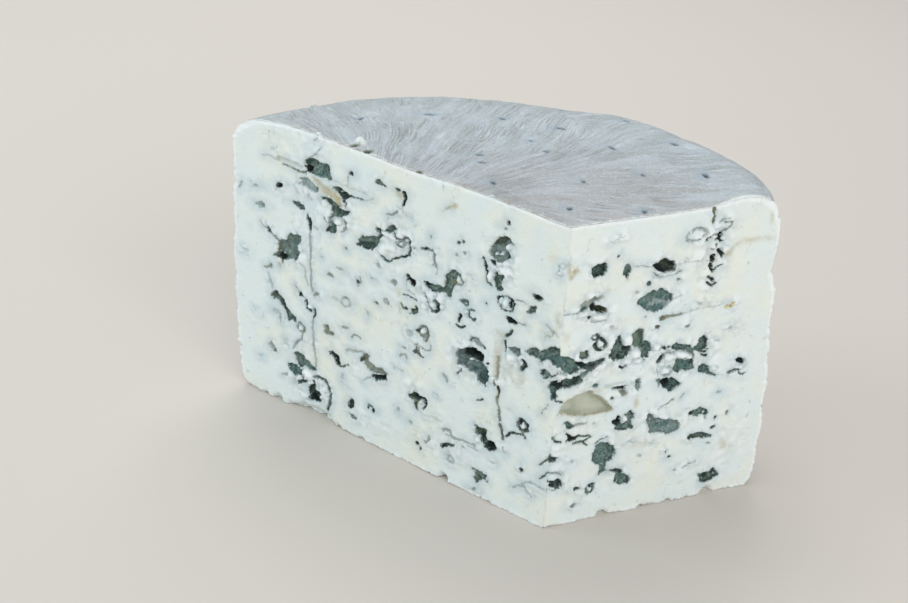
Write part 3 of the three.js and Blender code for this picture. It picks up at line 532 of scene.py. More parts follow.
longCutMarks["faint"] = (
    line(0.4, 86.3, 95, 86.4, 93, 86.2, 91),
    line((0.6, 0.9), 69.2, 85.7, 67.3, 86.1, 66, 87.2, 64.7, 87.9, show=0.6, tone=-0.4),
    blob(51.2, 83.5, 1, 1.4, tone=-1), blob(57.6, 77.9, 1, 0.6, show=0.6), blob(72.4, 67.1, 1.8, 1.5, tone=-0.8),
    blob(75, 61.9, 1.3, 0.8), line(0.7, 80.2, 60.4, 79.8, 58.8, 81, 57.2), line(0.5, 59.6, 62.5, 58, 62.8, 56.3, 62.4),
    blob(68.6, 55.8, 2.4, 1.7, show=0.5), blob(67.8, 55.1, 1, 0.8, show=0.7),
    blob(58, 48, 2.6, 2.4, show=0.25, tone=0.6), ring(86.3, 49.2, 3.6, 3, 0, 0.9, show=0.35),
    blob(86.3, 50.9, 1.9, 0.8, show=0.7), blob(76.6, 48.3, 1.4, 2, show=0.3), blob(91, 49, 4, 1.6, show=0.18),
    line((1.1, 0.8), 87.5, 39.8, 86.3, 39.9, 85, 40.5, show=0.55),
    line((0.9, 0.7), 83.3, 37.3, 82.7, 38.3, 81.3, 38.9, 79.4, 38.4, show=0.65, tone=-0.7),
    blob(60.2, 41.9, 1.4, 0.8, show=0.6),
    line(0.8, 61.9, 38.3, 61.1, 39.1, 59.4, 39.4, 58.8, 38.4, show=0.55, tone=-0.6),
    blob(87.2, 21.1, 1.3, 2.3, show=0.3), blob(61.3, 18.9, 1.4, 2, show=0.3, tone=0.5), blob(55.8, 15.8, 1.5, 0.9),
    line(0.9, 48.3, 13.6, 47.7, 12.6, 48.3, 11.6, 49.4, 11.1, show=0.6, tone=-0.5),
    line((0.9, 0.7), 42.2, 18.2, 41.3, 19.1, 39.6, 19.1, 39, 17.9, 37.6, 17.4, 35, 17.6, 32.1, 17.9, 28.6, 18,
        show=0.55),
    line(0.4, 41, 17.4, 38.6, 17), blob(33.5, 15.7, 1.6, 0.7, show=0.5), line(0.4, 32, 16.8, 28.3, 16.7),
    ring(38.4, 8.9, 2.6, 2.2, 0, 0.7, show=0.35), blob(28, 2.4, 1.7, 1, show=0.6),
    line((1.2, 0.8), 43.1, 38.6, 42.2, 37.8, 41.3, 36.8, show=0.5, tone=-0.6), line(0.5, 46.5, 30.7, 45, 30.3),
    blob(16.5, 36.4, 0.8, 0.6),
    line(0.5, 1.2, 14.1, 3.8, 14.1, 6.1, 14.2, 8.4, 13.3, 9.5, 12.1, 11.8, 10.4, 13, 9.5, tone=0.8),
    line(0.5, 10.7, 11, 8.4, 11.9, 6.1, 10.1, 5.2, 9.5, tone=0.8), line((0.7, 0.4), 17.6, 22.5, 16.8, 20.2, show=0.35),
    line(0.5, 21.8, 14.7, 20.4, 15, tone=0.6, show=0.3),
    line((0.9, 1.2), 103.3, 69.8, 103.2, 67.7, 102.9, 65, 102.7, 62.3, 103, 58.3, 102.7, 54.3, 102.3, 50.3, 101.7,
        48.3, show=0.5),
    line((0.9, 1.1), 101.2, 38, 101.5, 35.2, 101.1, 31.8, 100.9, 28.9, 100.4, 25.4, 99.8, 21.9, 100.1, 19, show=0.42),
    line(0.5, 103, 96, 101, 97.4, 99.7, 98.7, 98.7, 100, show=0.5), line(0.5, 101.6, 102, 100.6, 103, show=0.45),
    line((0.5, 0.7), 127, 66.7, 124.5, 65, show=0.4), blob(129.5, 79, 2.7, 1.1, -14, show=0.5),
    line((0.9, 0.7), 136.2, 78.6, 136.8, 77.4, 137.8, 76, show=0.5), line(0.6, 119.2, 81.2, 120, 80, show=0.4),
    blob(118.1, 53, 1.8, 2, show=0.35, tone=-0.5), line((0.7, 1.6), 123.4, 48.2, 122.6, 46.6, 121.4, 43.6, show=0.28),
    blob(134.7, 53.3, 2.8, 1.7, show=0.16), line(0.8, 107.7, 57, 105.7, 55.7, 105, 52.3, 103.7, 49.7, show=0.3),
    line(0.6, 109.9, 47.7, 108.7, 46.5, show=0.5), blob(97.7, 62.3, 1.2, 0.9, show=0.3),
    blob(119, 34.9, 4.4, 1.9, show=0.3), line((1.6, 1.2), 117.7, 33.5, 117.1, 31.5, show=0.35, tone=-0.8),
    blob(127.8, 14.4, 2, 1.4, show=0.2), blob(121.7, 94, 1.4, 0.9, show=0.25, tone=-1),
    line(0.5, 111, 84.2, 109.4, 82.6, 107.8, 81.4, show=0.35), line(0.5, 104.3, 82, 102.6, 81, show=0.3),
    line(0.6, 99.7, 71.3, 101.5, 72.1, show=0.4, tone=0.8), line(0.6, 47.6, 74, 48.3, 71.8, show=0.3),
    blob(115.2, 24.4, 2.8, 2.8, show=0.14, tone=-1), blob(94, 77, 1.4, 1.2, show=0.4),
    line(0.4, 60, 66.8, 59.9, 64.2, show=0.8), line(0.4, 56.8, 66, 55.4, 66.4, show=0.6),
)
longCutMarks["vein"] = (
    line(0.3, 17.1, 73.4, 14.8, 73.8, 12.6, 73.4), line(0.3, 16, 66.4, 12.9, 66.5, show=0.6),
    line(0.35, 52.5, 64, 51.2, 61.8, 50.5, 60.8), line(0.35, 24.6, 88.6, 25.6, 86.6, 24.2, 84.8, show=0.7),
    line(0.3, 22, 87.2, 24.4, 86.6, show=0.6),
    line(0.4, 55.2, 44.7, 53.6, 44.9, 52.2, 44.2, 50.8, 44.2, 49.1, 44.4, 48.8, 46.1, 49.2, 46.6),
    line(0.35, 54.1, 45.8, 55.2, 44.7), line(0.35, 53.8, 48.6, 52.6, 48.4, 51.4, 47.4),
    line(0.35, 55, 50.2, 53.2, 50.6, 52.6, 49, show=0.7), line(0.35, 2.3, 43.6, 3.8, 41.3, 4.3, 39.6, show=0.7),
    line(0.3, 64.4, 79, 63.2, 78.2, 61.8, 78.8, show=0.7), line(0.3, 9.2, 32, 8, 31.8, show=0.5),
    line(0.35, 30, 47, 27, 46.6, 25.8, 47.6, show=0.7), line(0.35, 38, 46.6, 35, 46.2, 33, 44.8, show=0.6),
    line(0.35, 79.8, 87.7, 77.6, 88.1, 75.4, 89.4, show=0.35), line(0.35, 5.4, 57.8, 4.2, 59.4, 2.2, 60.6, show=0.7),
    line(0.3, 11.9, 58, 9.4, 58.8, 6.4, 58.6, show=0.6), line(0.35, 1.6, 90, 2.6, 88.4, 1.8, 86.2, show=0.7),
    line(0.3, 41.6, 74.4, 43.4, 71.6, 43, 68.4, show=0.6),
)
longCutMarks["crack"] = (
    line(0.35, 44.3, 95.5, 47, 93.3, show=0.4),
    line(0.35, 5.5, 69.4, 4.5, 68.8, 2.6, 67.8, 3.2, 65.9, 5.5, 65.9, 5.2, 64.3),
    line(0.4, 118, 90.6, 122, 91.5, 126, 91, show=0.3), line(0.3, 94, 90.8, 89, 90.4, 78, 90.2, show=0.3),
    line(0.3, 36, 76, 33, 74.4, show=0.25), line(0.3, 58, 87, 63, 88.6, show=0.3),
    line(0.3, 44, 22, 49, 21, 52, 21.4, show=0.25), line(0.3, 64, 34, 60, 33, show=0.3),
    line(0.3, 84, 18, 88, 19, show=0.25), line(0.3, 127, 31, 131, 32.4, show=0.25),
)
longCutMarks["tan"] = (
    area(46.6, 94.6, 42.3, 97.5, 41.2, 96.8, 41.4, 95.6, stain=1.1),
    area(66, 95, 63.4, 94.8, 63.2, 92.4, 65.6, 92.8, stain=0.7),
    area(95.4, 87.2, 92.1, 86.7, 89.3, 85.1, 87.9, 83.8, 89.8, 82.4, 95.4, 83, stain=1, deep=-0.5),
    blob(39.4, 87, 1.8, 1.3, stain=0.6),
    area(103.2, 90.1, 100.3, 89.4, 96.3, 88, 92.3, 87.6, 90, 87, 88.6, 84.6, 88.4, 82.6, 90, 82.2, 93.7, 83, 97, 84.2,
        100.3, 86.6, stain=0.8, deep=0.6),
    area(24.2, 61.8, 20.3, 61, 20.6, 52, 21, 45, 23.6, 45, 24, 53, stain=0.45),
    line((1, 1), 22.1, 51, 22.2, 45, stain=0.7), area(20.3, 52.4, 11.3, 52, 11.6, 45.4, 20.2, 45.2, stain=0.22),
    line((2.4, 2), 1.2, 74, 1.2, 67.4, stain=0.35), blob(8.6, 59, 4, 1.6, stain=0.4),
    blob(62.7, 55, 2.2, 2.8, stain=0.7), blob(63.1, 60.5, 1.8, 2.2, stain=0.6), blob(50.6, 50, 1.6, 4, stain=0.6),
    blob(53.8, 22.6, 1.6, 2.4, stain=0.5), line((1, 0.8), 69, 10.2, 67, 11.1, 64.7, 11.1, stain=0.35),
    blob(132, 63, 3, 2.4, stain=0.14), blob(5, 91, 4, 3, stain=0.18), blob(110, 18.6, 3, 1.6, stain=0.2),
    line((0.8, 0.6), 4, 68.6, 3, 66.6, 5, 65.6, stain=0.5),
)
longCutMarks["crumbly"] = (
    area(128, 104, 98, 104, 90, 98, 96, 90, 112, 88, 126, 92, show=0.4),
    area(108, 84, 90, 90, 78, 84, 84, 70, 100, 66, 112, 70), blob(30, 47, 26, 16),
    area(74, 86, 58, 84, 54, 72, 66, 66, 78, 72), blob(112, 60, 18, 14), blob(24, 84, 16, 20), blob(50, 62, 16, 12),
    blob(104, 12, 24, 16), blob(56, 27, 14, 10), blob(1, 70, 6, 10), blob(2, 88, 5, 7), blob(16, 50, 12, 12),
    blob(80, 30, 32, 16, show=0.6), blob(40, 12, 28, 12, show=0.6), blob(72, 9, 24, 9, show=0.6),
)
longCutMarks["white"] = (
    blob(21.3, 89.1, 1.9, 1.7), blob(27.2, 78, 1.7, 3.6), blob(17, 54.2, 3.6, 1.9, 6), blob(20.6, 71.4, 2, 1.9),
    blob(35.4, 63.2, 1.2, 1.8), blob(103.4, 16, 5, 3.4), blob(90.5, 77.2, 2.8, 2), blob(90, 87.6, 0.8, 0.5),
    blob(27.7, 20.8, 1.9, 1.5), blob(52.6, 50.6, 1.8, 1.6), blob(62.9, 77.8, 1, 0.7), blob(48.4, 61.2, 1.6, 1.6),
    blob(10.6, 32.6, 1.2, 1.4), blob(2, 86.8, 1.2, 1), blob(1.6, 89.4, 1.2, 1.1), blob(107.2, 32.6, 1.8, 1.4),
    blob(102.6, 42.4, 2, 1.3), blob(23.6, 86.2, 1.1, 0.9), blob(25.4, 85.6, 1.3, 0.8), blob(52, 25, 1.5, 0.7),
    blob(6.6, 56.6, 1.2, 0.8),
)

shortCutMarks["pit"] = (
    area(30.4, 85.8, 31.6, 86.6, 33, 85, 35.8, 83.9, 33, 83.6, 31.4, 84.4, deep=4.5), blob(10, 75.3, 1.7, 2.4, deep=5),
    blob(9, 72.3, 1.2, 0.9), blob(23.4, 59.4, 2.4, 2.2, deep=3), blob(21, 57, 1.8, 0.9),
    line((1, 1.3), 35.2, 53, 36.8, 54.6, deep=2.4),
    area(6.6, 57.2, 8.4, 57.6, 9.4, 56.5, 11.6, 56.4, 11, 54.8, 8.8, 54.9, 7.4, 55.6, deep=4.2),
    area(-3, 51.5, 0, 51.8, 2.2, 52.4, 3.6, 51, 1.6, 49.3, -1.3, 49.3, deep=4.6),
    area(19.8, 46.1, 22.1, 46.8, 24.8, 46.8, 24.8, 45.4, 22.4, 45.5, deep=4),
    area(37, 46.2, 38.4, 46.7, 40.8, 46.3, 41.4, 44.3, 41, 42.7, 39.8, 42.7, 38.7, 43.5, 37.8, 44.6, deep=5.5),
    area(4.5, 34.9, 5.6, 33.9, 6.3, 32.7, 7.6, 31.8, 9.9, 31.8, 8.8, 30.5, 7, 29.9, 5.4, 30.3, 6.4, 31.4, 5.4, 32.8,
        4.6, 33.8, deep=3),
    area(21.3, 34.6, 23.1, 36.4, 24, 35.7, 23.9, 34.4, 24.6, 33.6, 24, 32.4, 22.4, 31.6, 22.6, 33.2, 21.6, 33.8,
        deep=3.2),
    area(50.7, 93.7, 53, 94.1, 53.5, 93.3, 52.8, 92.3, 53.4, 91.2, 52.3, 91, 51.7, 91.9, 50.2, 92.1, 51, 92.8, deep=4),
    line(0.6, 47.5, 92, 48.6, 93.1), blob(51.2, 90.3, 1, 0.8),
    line((1.2, 1.7), 52.2, 88.4, 53, 87.6, 53.7, 86.5, deep=3),
    area(49.5, 86.5, 51, 87.3, 51.8, 86.5, 51.2, 85.3, 52, 84.7, 51, 84.2, 50.1, 85.3, deep=3),
    blob(51.6, 78.4, 1.4, 1.5, deep=2), blob(50.4, 56.7, 1, 1.2),
    area(63.8, 49.3, 66, 49.3, 68.8, 48.4, 68.4, 47.2, 67, 46.9, 65.6, 48, deep=3.6),
    blob(42.4, 19.8, 0.9, 0.9, deep=0.9), blob(43.9, 17.5, 1.2, 0.9, deep=0.9), blob(60.2, 6.2, 2.6, 1.6, deep=2),
)
shortCutMarks["dark"] = (
    area(8.3, 86, 8.7, 88.5, 10.4, 89.3, 13.2, 89.4, 13.7, 87.4, 13.4, 85.8, 11, 85.1, 9.2, 85.1, deep=3.4, tone=0.4,
        dark=0.42),
    area(28.4, 85.9, 31, 86.7, 33.2, 87.5, 35.8, 87.3, 37.4, 85.4, 37.1, 83.5, 35.2, 83.3, 32.8, 83.8, 30.6, 84.8,
        deep=4.4, tone=-0.7, dark=0.42),
    area(10.2, 76.2, 12.6, 75.4, 14.8, 74.3, 15, 72.9, 12.4, 73, 10.6, 73.8, deep=4.2, tone=-0.9, dark=0.45),
    line((0.9, 0.7), 30.9, 77, 31, 75, 31.4, 73.4, dark=0.4),
    area(2.2, 52.6, 6.6, 52.7, 9.1, 53, 8.8, 51, 6.6, 49.6, 3, 49.3, deep=3.6, dark=0.3),
    line((2.2, 1), 11, 55.8, 13, 56.2, 15.4, 57, dark=0.35), line((1.4, 2), 8.8, 52.8, 10.2, 54, 11.2, 55.2, dark=0.3),
    line(0.9, 36.8, 57.6, 37.6, 57.2), blob(38.9, 57.4, 1.2, 0.8), line((1.3, 0.9), 50, 83.8, 50.8, 82.3, 51.5, 81),
    line((0.6, 0.4), 52, 82, 54.3, 83.4, dark=0.2), line(0.8, 49.6, 78, 51.6, 76.5, 52.9, 77.4),
    line(0.7, 50.2, 79.7, 51.4, 78.6), blob(52.3, 57.6, 1.2, 2.6, 10), blob(47.4, 51.8, 2.6, 2.2, dark=0.5),
    blob(52.6, 47.6, 2.8, 1.6),
    area(0.6, 16.8, 3.2, 17.1, 5, 16.4, 5.6, 15.5, 3.7, 14.5, 1.9, 14.8, 0.9, 15.8, dark=0.5),
    blob(10.8, 12.8, 2.4, 1.2), line((0.8, 1.7), 22.9, 16.2, 24.8, 16, 26.8, 14.9), blob(15.9, 12.2, 1.2, 0.9),
    blob(51.4, 32.6, 3.6, 1.6), line((0.9, 0.7), 50.4, 23.6, 54, 23.5, 57.4, 22.7, 59.6, 22),
    blob(1.4, 25, 2.8, 2.2, dark=0.4), line(0.6, -0.4, 45.6, 1, 45, 2.8, 44.6),
    line(0.7, -1.6, 47.2, -0.4, 46.4, 0.6, 47), blob(28.8, 46.6, 0.8, 2.6, dark=0.35), blob(5, 37, 1.6, 1, dark=0.5),
    blob(27.6, 36, 1.6, 1.4, dark=0.3), blob(30.2, 58.2, 3.2, 3, dark=0.35), blob(19.4, 58.2, 2.6, 2, dark=0.4),
)
shortCutMarks["mould"] = (
    area(19.4, 86.9, 20.2, 88, 21.7, 87.6, 22.3, 85.6, 21.5, 84, 21.3, 82.2, 20.2, 83.8, 19.4, 85.2, dark=0.3),
    blob(28.7, 80.4, 1.5, 1.6), blob(39.3, 80.3, 0.9, 0.9),
    area(25.2, 74.2, 27.9, 76.9, 30, 77.8, 31.2, 77.6, 33.2, 78.2, 35.4, 77, 37.4, 75.8, 37.7, 74.4, 35.8, 73.2, 35.5,
        71.4, 32.7, 70.5, 30, 70.8, 27.9, 71.8, 26.7, 73.3, tone=0.6),
    ring(12, 65.2, 2.6, 1.8, 0, 0.6), ring(13.9, 62.5, 3.8, 3.2, 0, 1.1, dark=0.4),
    area(7, 59, 7.4, 61, 9, 61.4, 10.3, 60.4, 10, 58.6, 8.6, 58.2, tone=-0.5),
    area(19.9, 65, 18.8, 63, 18.4, 60.6, 17.6, 59, 17.6, 57.2, 19.9, 56.4, 22.3, 56.4, 24, 57.9, 25.4, 59.5, 24.4,
        60.9, 22.1, 60.8, 21.2, 62.2, 20.9, 64.3, dark=0.25, tone=0.4),
    area(25.6, 59.8, 24.8, 62, 25.2, 64.8, 27, 66, 28.8, 65, 29, 61.4, 28, 59.4, tone=-0.4),
    area(27.2, 60.4, 29.8, 61.7, 31.2, 60.6, 32.9, 58.2, 31.4, 57, 31.8, 55.6, 29, 55.6, 28.2, 57.6, dark=0.2,
        tone=0.5),
    line(0.7, 21.2, 54, 22.4, 53.4, 23.8, 53.6, dark=0.5),
    area(5.9, 58, 7.4, 57.4, 7.2, 54.7, 5, 53.7, 1.9, 55.1, 0.2, 57.9, 0, 60.8, 4, 60.1, tone=0.5),
    blob(14, 48.4, 1.9, 1.5), blob(20.3, 43, 1.3, 1.1),
    area(27.8, 48.4, 29.3, 48.6, 29.6, 45.6, 28.8, 44, 27.8, 45.4, show=0.7),
    area(4.2, 37.6, 6, 37, 8.1, 35.6, 7.4, 34.8, 5.2, 35, tone=1), line((0.8, 0.5), 8.8, 31.4, 12.9, 31.1, 14.3, 30.6),
    line(0.6, 14.2, 30.6, 11.4, 29.1, 8, 29.3), line(0.7, 11.2, 29.2, 12.9, 27.8), blob(0.3, 32.8, 1.7, 1.2),
    line(0.7, 0.7, 32.6, 1.3, 31.3, 3.7, 30.6),
    area(25.3, 36.6, 27.5, 37.3, 28.9, 36.3, 29.5, 34.4, 28, 33.2, 28.9, 31.6, 29.7, 30.4, 27.5, 30.9, 23.9, 31, 22.6,
        31.6, 24, 33, 26, 33.6, 27, 34.6, 26.6, 35.7, 25.2, 36.2, tone=0.2),
    area(33.4, 33.1, 33.6, 34.6, 34.6, 35.6, 35.8, 34.4, 36.4, 33.2, 38.5, 32.7, 39.7, 31.9, 42.4, 31.6, 44.8, 30.8,
        46.3, 29.6, 46.2, 26.8, 43.5, 26.2, 41.3, 26.6, 39.6, 27.8, 36.9, 28.1, 35.2, 27.6, 35, 30.1, 34, 31.6,
        tone=0.6, show=0.85),
    ring(-1.4, 25.2, 3.4, 2.6, 20, 0.9, dark=0.3),
    area(16.5, 26.9, 18, 27.7, 20, 27.2, 22.4, 25.9, 23.8, 24.2, 24.1, 21.9, 23, 20.3, 21.3, 19.8, 20.7, 18.8, 21,
        17.5, 21.9, 16.4, 20, 16.2, 18.1, 15.6, 18.9, 17.8, 18.7, 18.8, 16.9, 20, 15.8, 21.4, 15.5, 23.7, 16.3, 25.2,
        tone=0.5, dark=0.15),
    area(25.3, 14.9, 27.2, 14.7, 28.3, 13.8, 30.1, 12.9, 30.4, 11.4, 29, 10.2, 26.7, 10.2, 25.2, 11.4, 24.5, 12.7,
        tone=0.3, dark=0.2),
    ring(1.8, 15.6, 6.2, 3.2, 0, 0.6), line(0.6, -3, 19.7, -0.2, 20.1, 2.7, 19.9, 5, 18.6, show=0.6),
    ring(15.7, 11.3, 2.9, 2.8, 0, 1), blob(10, 6.5, 2.3, 1.5, show=0.7),
    ring(43.8, 94.2, 6.8, 3.6, 12, 0.45, show=0.5), line(0.6, 51, 97.5, 53, 98.2, 55, 98.3, show=0.5),
    line(0.6, 53, 97.2, 56, 97, 55.8, 95.6, 54.3, 94.7, 51, 94, 49.3, 94, show=0.7), blob(50, 89, 1.4, 0.9, show=0.6),
    area(50.3, 58.9, 51.7, 59.4, 53, 58.3, 52.8, 56.7, 53.7, 55.5, 52, 54.8, 50.3, 54.1, 48.9, 54.9, 48.5, 56, 49.5,
        57, 49.7, 58, dark=0.3, tone=0.3),
    area(40, 57.9, 41.7, 57.9, 43.3, 57.5, 45.3, 57.3, 47, 56.4, 48.8, 54.7, 48.3, 53.5, 47, 54.2, 44.7, 54.9, 42.7,
        55.9, 40, 56.4, tone=0.4),
    line(0.7, 50.8, 54.2, 52.6, 53.7, 53.4, 54.5, dark=0.4), line(0.7, 51.3, 52.9, 52.5, 52.3, 53.5, 52.6, dark=0.5),
    area(41.6, 52.5, 43, 52.7, 44.7, 52.2, 46.7, 52.4, 48.3, 54.5, 49, 52.7, 48.8, 50.7, 49.5, 48.6, 48, 48.1, 45.3,
        48.1, 42.7, 47.9, 41.5, 49.3, 41.9, 50.7, tone=0.4, dark=0.2),
    area(50.9, 48.9, 52.7, 49, 54.9, 48.4, 55.2, 46.7, 54, 45.7, 52.3, 46.1, 50.9, 47.2, tone=0.8, dark=0.2),
    line((1.3, 0.6), 54.6, 46.2, 57.7, 44.7), line(0.7, 62.7, 44.7, 64.7, 45.3, 66.7, 45.2),
    line(0.6, 66.6, 44.4, 68, 43.4, 69.2, 43.6, dark=0.4),
    area(41, 46.7, 42.4, 45.9, 44.4, 44.4, 44.8, 43.2, 43.5, 42.8, 42.4, 41.7, 41.1, 41.2, 40, 42.4, 41, 44, tone=0.8,
        deep=3),
    area(35.4, 47, 37, 46.8, 37.6, 45, 36.6, 44.6, show=0.7), ring(39.4, 49, 3, 3, 0, 0.5, show=0.6),
    area(49.1, 32.7, 51.2, 33.2, 52.8, 33.4, 53.6, 34.1, 54.9, 33, 57.3, 32.3, 57, 30.8, 55.7, 31, 53.1, 30.6, 51.5,
        31.8, 49.8, 31.7, dark=0.2),
    blob(56.3, 29.6, 0.9, 1.4, show=0.5), blob(60.4, 28.8, 1.3, 1.4), blob(64.7, 29.7, 1.2, 1.5, show=0.8),
    blob(59.9, 25.2, 1.9, 1.1),
    area(49.8, 24.1, 51.2, 24.5, 52.5, 24, 55.7, 24.2, 57.3, 23.4, 59.9, 22.4, 59.6, 21.6, 57.3, 21.8, 54.7, 22.3, 52,
        22.3, 50.6, 22.9, tone=-0.6, dark=0.25),
    blob(58.8, 19.5, 1.4, 0.7, show=0.7),
    area(56.4, 8.4, 57.9, 7.7, 59.5, 8.2, 61.4, 8.2, 60.8, 10.2, 62.6, 8.6, 65.3, 6.7, 63.7, 5.4, 62.1, 4.5, 59.5,
        4.1, 58, 4.7, 57.4, 5.9, dark=0.35, tone=-0.2),
    line(0.5, 36.2, 58.4, 35.4, 57.2, show=0.6), blob(17, 90.8, 1, 0.9),
)
shortCutMarks["teal"] = (
    area(-4, 62.6, -1, 61.8, 0.6, 60.4, 2, 58.8, 0, 57.4, -4, 57.6, dark=0.3), blob(7, 75.2, 2.4, 1.6),
    blob(33.6, 73, 6, 3, show=0.6), area(30, 71, 34, 70.8, 35.6, 72.6, 33, 73), blob(40, 29.8, 6, 2),
    blob(46.2, 49.6, 3.6, 1.8), blob(2, 58.4, 3, 2),
)
shortCutMarks["olive"] = (
    line((1, 0.5), 8.2, 35.7, 12, 35.8, show=0.55), line((0.5, 0.5), 37.6, 36.3, 43, 38.6, tone=-1.5, show=0.7),
    area(5.9, 76.2, 6.6, 77.5, 8.8, 78.2, 10.1, 78.9, 12, 79.1, 13.8, 78, 12, 77.1, 10.2, 77.2, 9.4, 75.4, 7.4, 75.6,
        tone=-0.9, show=0.6, deep=2),
    blob(33.4, 65.5, 1.7, 1.5, -30, tone=-1.8, dark=0.35), blob(35.3, 68, 2.2, 1.8, tone=-1.9, dark=0.35),
    line((1.1, 0.7), 36.4, 68.3, 39, 68.3, 41.8, 68.4, tone=-1.5, show=0.7),
    area(22.2, 45.4, 25, 45.2, 25.2, 43, 23.6, 43.2, tone=-1.6, show=0.6, deep=2.4),
    line((1.1, 0.8), 48.6, 102.4, 49.1, 100, 48.9, 97.6, tone=-1.9, show=0.85, dark=0.25),
    line(0.9, 58.3, 68.5, 60.2, 68.6, 60.6, 69.6, tone=-2.4, show=0.7, dark=0), blob(11.2, 88.9, 2.2, 0.9, tone=-1.9),
    blob(44.4, 64, 1.8, 0.9, tone=-1.2, show=0.7),
)
shortCutMarks["faint"] = (
    blob(48, 71, 2, 1), blob(61, 61, 1.8, 1), blob(60, 38, 2, 1.2), blob(33, 20, 1.8, 1.2), blob(17, 68, 1.6, 1.2),
    blob(14.8, 35.2, 1.2, 1.1), blob(47, 12, 1.4, 1), blob(8.3, 23, 1.4, 0.8), blob(39, 56, 2, 1.2),
    blob(53, 88.6, 1.6, 1), blob(26, 61.6, 1, 1), blob(2, 54.6, 3.6, 1.4), blob(-1, 55.2, 2.4, 1.6),
    blob(29, 69.4, 0.8, 0.8), line(0.8, 45.6, 38.6, 46.8, 39.8), blob(25, 78, 1.4, 1),
    line(0.5, 49.7, 12.4, 54.7, 13.8, show=0.5),
)
shortCutMarks["vein"] = (
    line(0.3, 22.5, 86.9, 25, 86.6, 28.5, 85.8, show=0.7), line(0.4, 29.5, 84, 32.2, 82.1, 35.1, 82.5, 39.6, 82.9),
    line(0.3, 37.4, 85.5, 42, 85.7, 49.3, 85.5, show=0.45), line(0.35, 6, 74.6, 3, 74, -1, 74.2, show=0.6),
    line(0.45, 16, 27.8, 17.5, 28.8, 20, 29.5), line(0.3, 10.1, 70.7, 13, 70.4, 14.9, 70.6, show=0.8),
    line(0.35, 1.5, 40.4, 3.6, 44.4, 8, 45.9, 10, 47, 13.2, 46.8, show=0.4),
    line(0.35, 13.6, 45.4, 15.8, 44.6, 17.6, 42.6, 20.8, 39.4, show=0.4),
    line(0.35, 20.8, 38.7, 15, 38.5, 8.6, 38.7, 5.4, 40, show=0.3), line(0.4, 15.4, 57.2, 12, 54.4, 8.8, 52.7),
    line(0.4, -3.4, 55.8, -1.6, 55, 0.4, 55.6), line(0.4, 37.6, 74, 41, 75, show=0.4),
    line(0.4, 38, 50.6, 38.4, 48.4, 40.4, 47.6, show=0.7), line(0.35, 36.4, 55.8, 40, 55.4, 42, 56, show=0.7),
    line(0.35, 42, 53.2, 45.6, 53, 47.6, 54, show=0.8), line(0.35, 35, 51, 36, 48.6, show=0.6),
    line(0.3, 0, 78.4, 0.4, 75.4, show=0.5), line(0.35, 27.2, 56.2, 28.4, 55, 30, 54.8, show=0.6),
)
shortCutMarks["crack"] = (
    line(0.3, 41.6, 68.6, 48, 69.3, 56, 69.6, show=0.3), line(0.3, 55.4, 57.4, 57.6, 57, show=0.35),
    line(0.3, 25, 26.8, 30, 25.4, 37, 24, show=0.25), line(0.3, 13, 96, 18, 97.2, show=0.3),
    line(0.3, -3.6, 74, -1.6, 71.4, -0.4, 69.6, show=0.5), line(0.3, -3.4, 69.6, -2, 67.4, show=0.5),
)
shortCutMarks["tan"] = (
    area(-0.6, 91, 1.4, 89.6, 3.4, 89.6, 4.4, 88, 2.4, 86.4, 1.6, 84.6, 0.4, 87, stain=1),
    blob(55.6, 87, 3.8, 2.2, stain=0.9), blob(29, 40.2, 1.5, 3.4, stain=0.9), blob(65, 17.8, 4, 3, stain=0.5),
    blob(-1.4, 72, 3, 6, stain=0.35), blob(62, 90.2, 6, 1.2, stain=0.45), blob(71, 90, 4, 1.4, stain=0.3),
    line((1.1, 0.8), 56.6, 88, 59, 89.4, 62, 89.8, 65, 90.4, 71, 89.6, stain=0.75), blob(20.6, 68.4, 8, 5, stain=0.12),
    blob(14, 46.6, 6, 1.4, stain=0.4), blob(32, 25, 12, 3, stain=0.18), blob(58, 96, 5, 4, stain=0.15),
    blob(50, 71, 8, 4, stain=0.15), blob(70.6, 97, 1.2, 4, stain=0.7), blob(2, 66.6, 2.4, 4, stain=0.3),
)
shortCutMarks["bowl"] = (
    area(2.3, 40.3, 3.4, 44.6, 8, 46, 10, 47, 13, 46.8, 13.6, 45.3, 15.8, 44.6, 17.6, 42.5, 20.8, 39.6, 20.8, 38.6,
        15, 38.4, 8.6, 38.7, 5.5, 39.9, fray=0.1),
)
shortCutMarks["crumbly"] = (
    area(-4, 62, -4, 48, 12, 48, 18, 54, 34, 53, 54, 45, 60, 48, 58, 60, 40, 60, 30, 67, 16, 64), blob(10, 75, 18, 12),
    blob(34, 84, 18, 8), blob(51, 86, 14, 26), blob(42, 30, 18, 8), blob(6, 31, 14, 10), blob(-1, 90, 8, 8),
    blob(-1, 71, 7, 9), blob(64, 20, 22, 26, show=0.45),
)
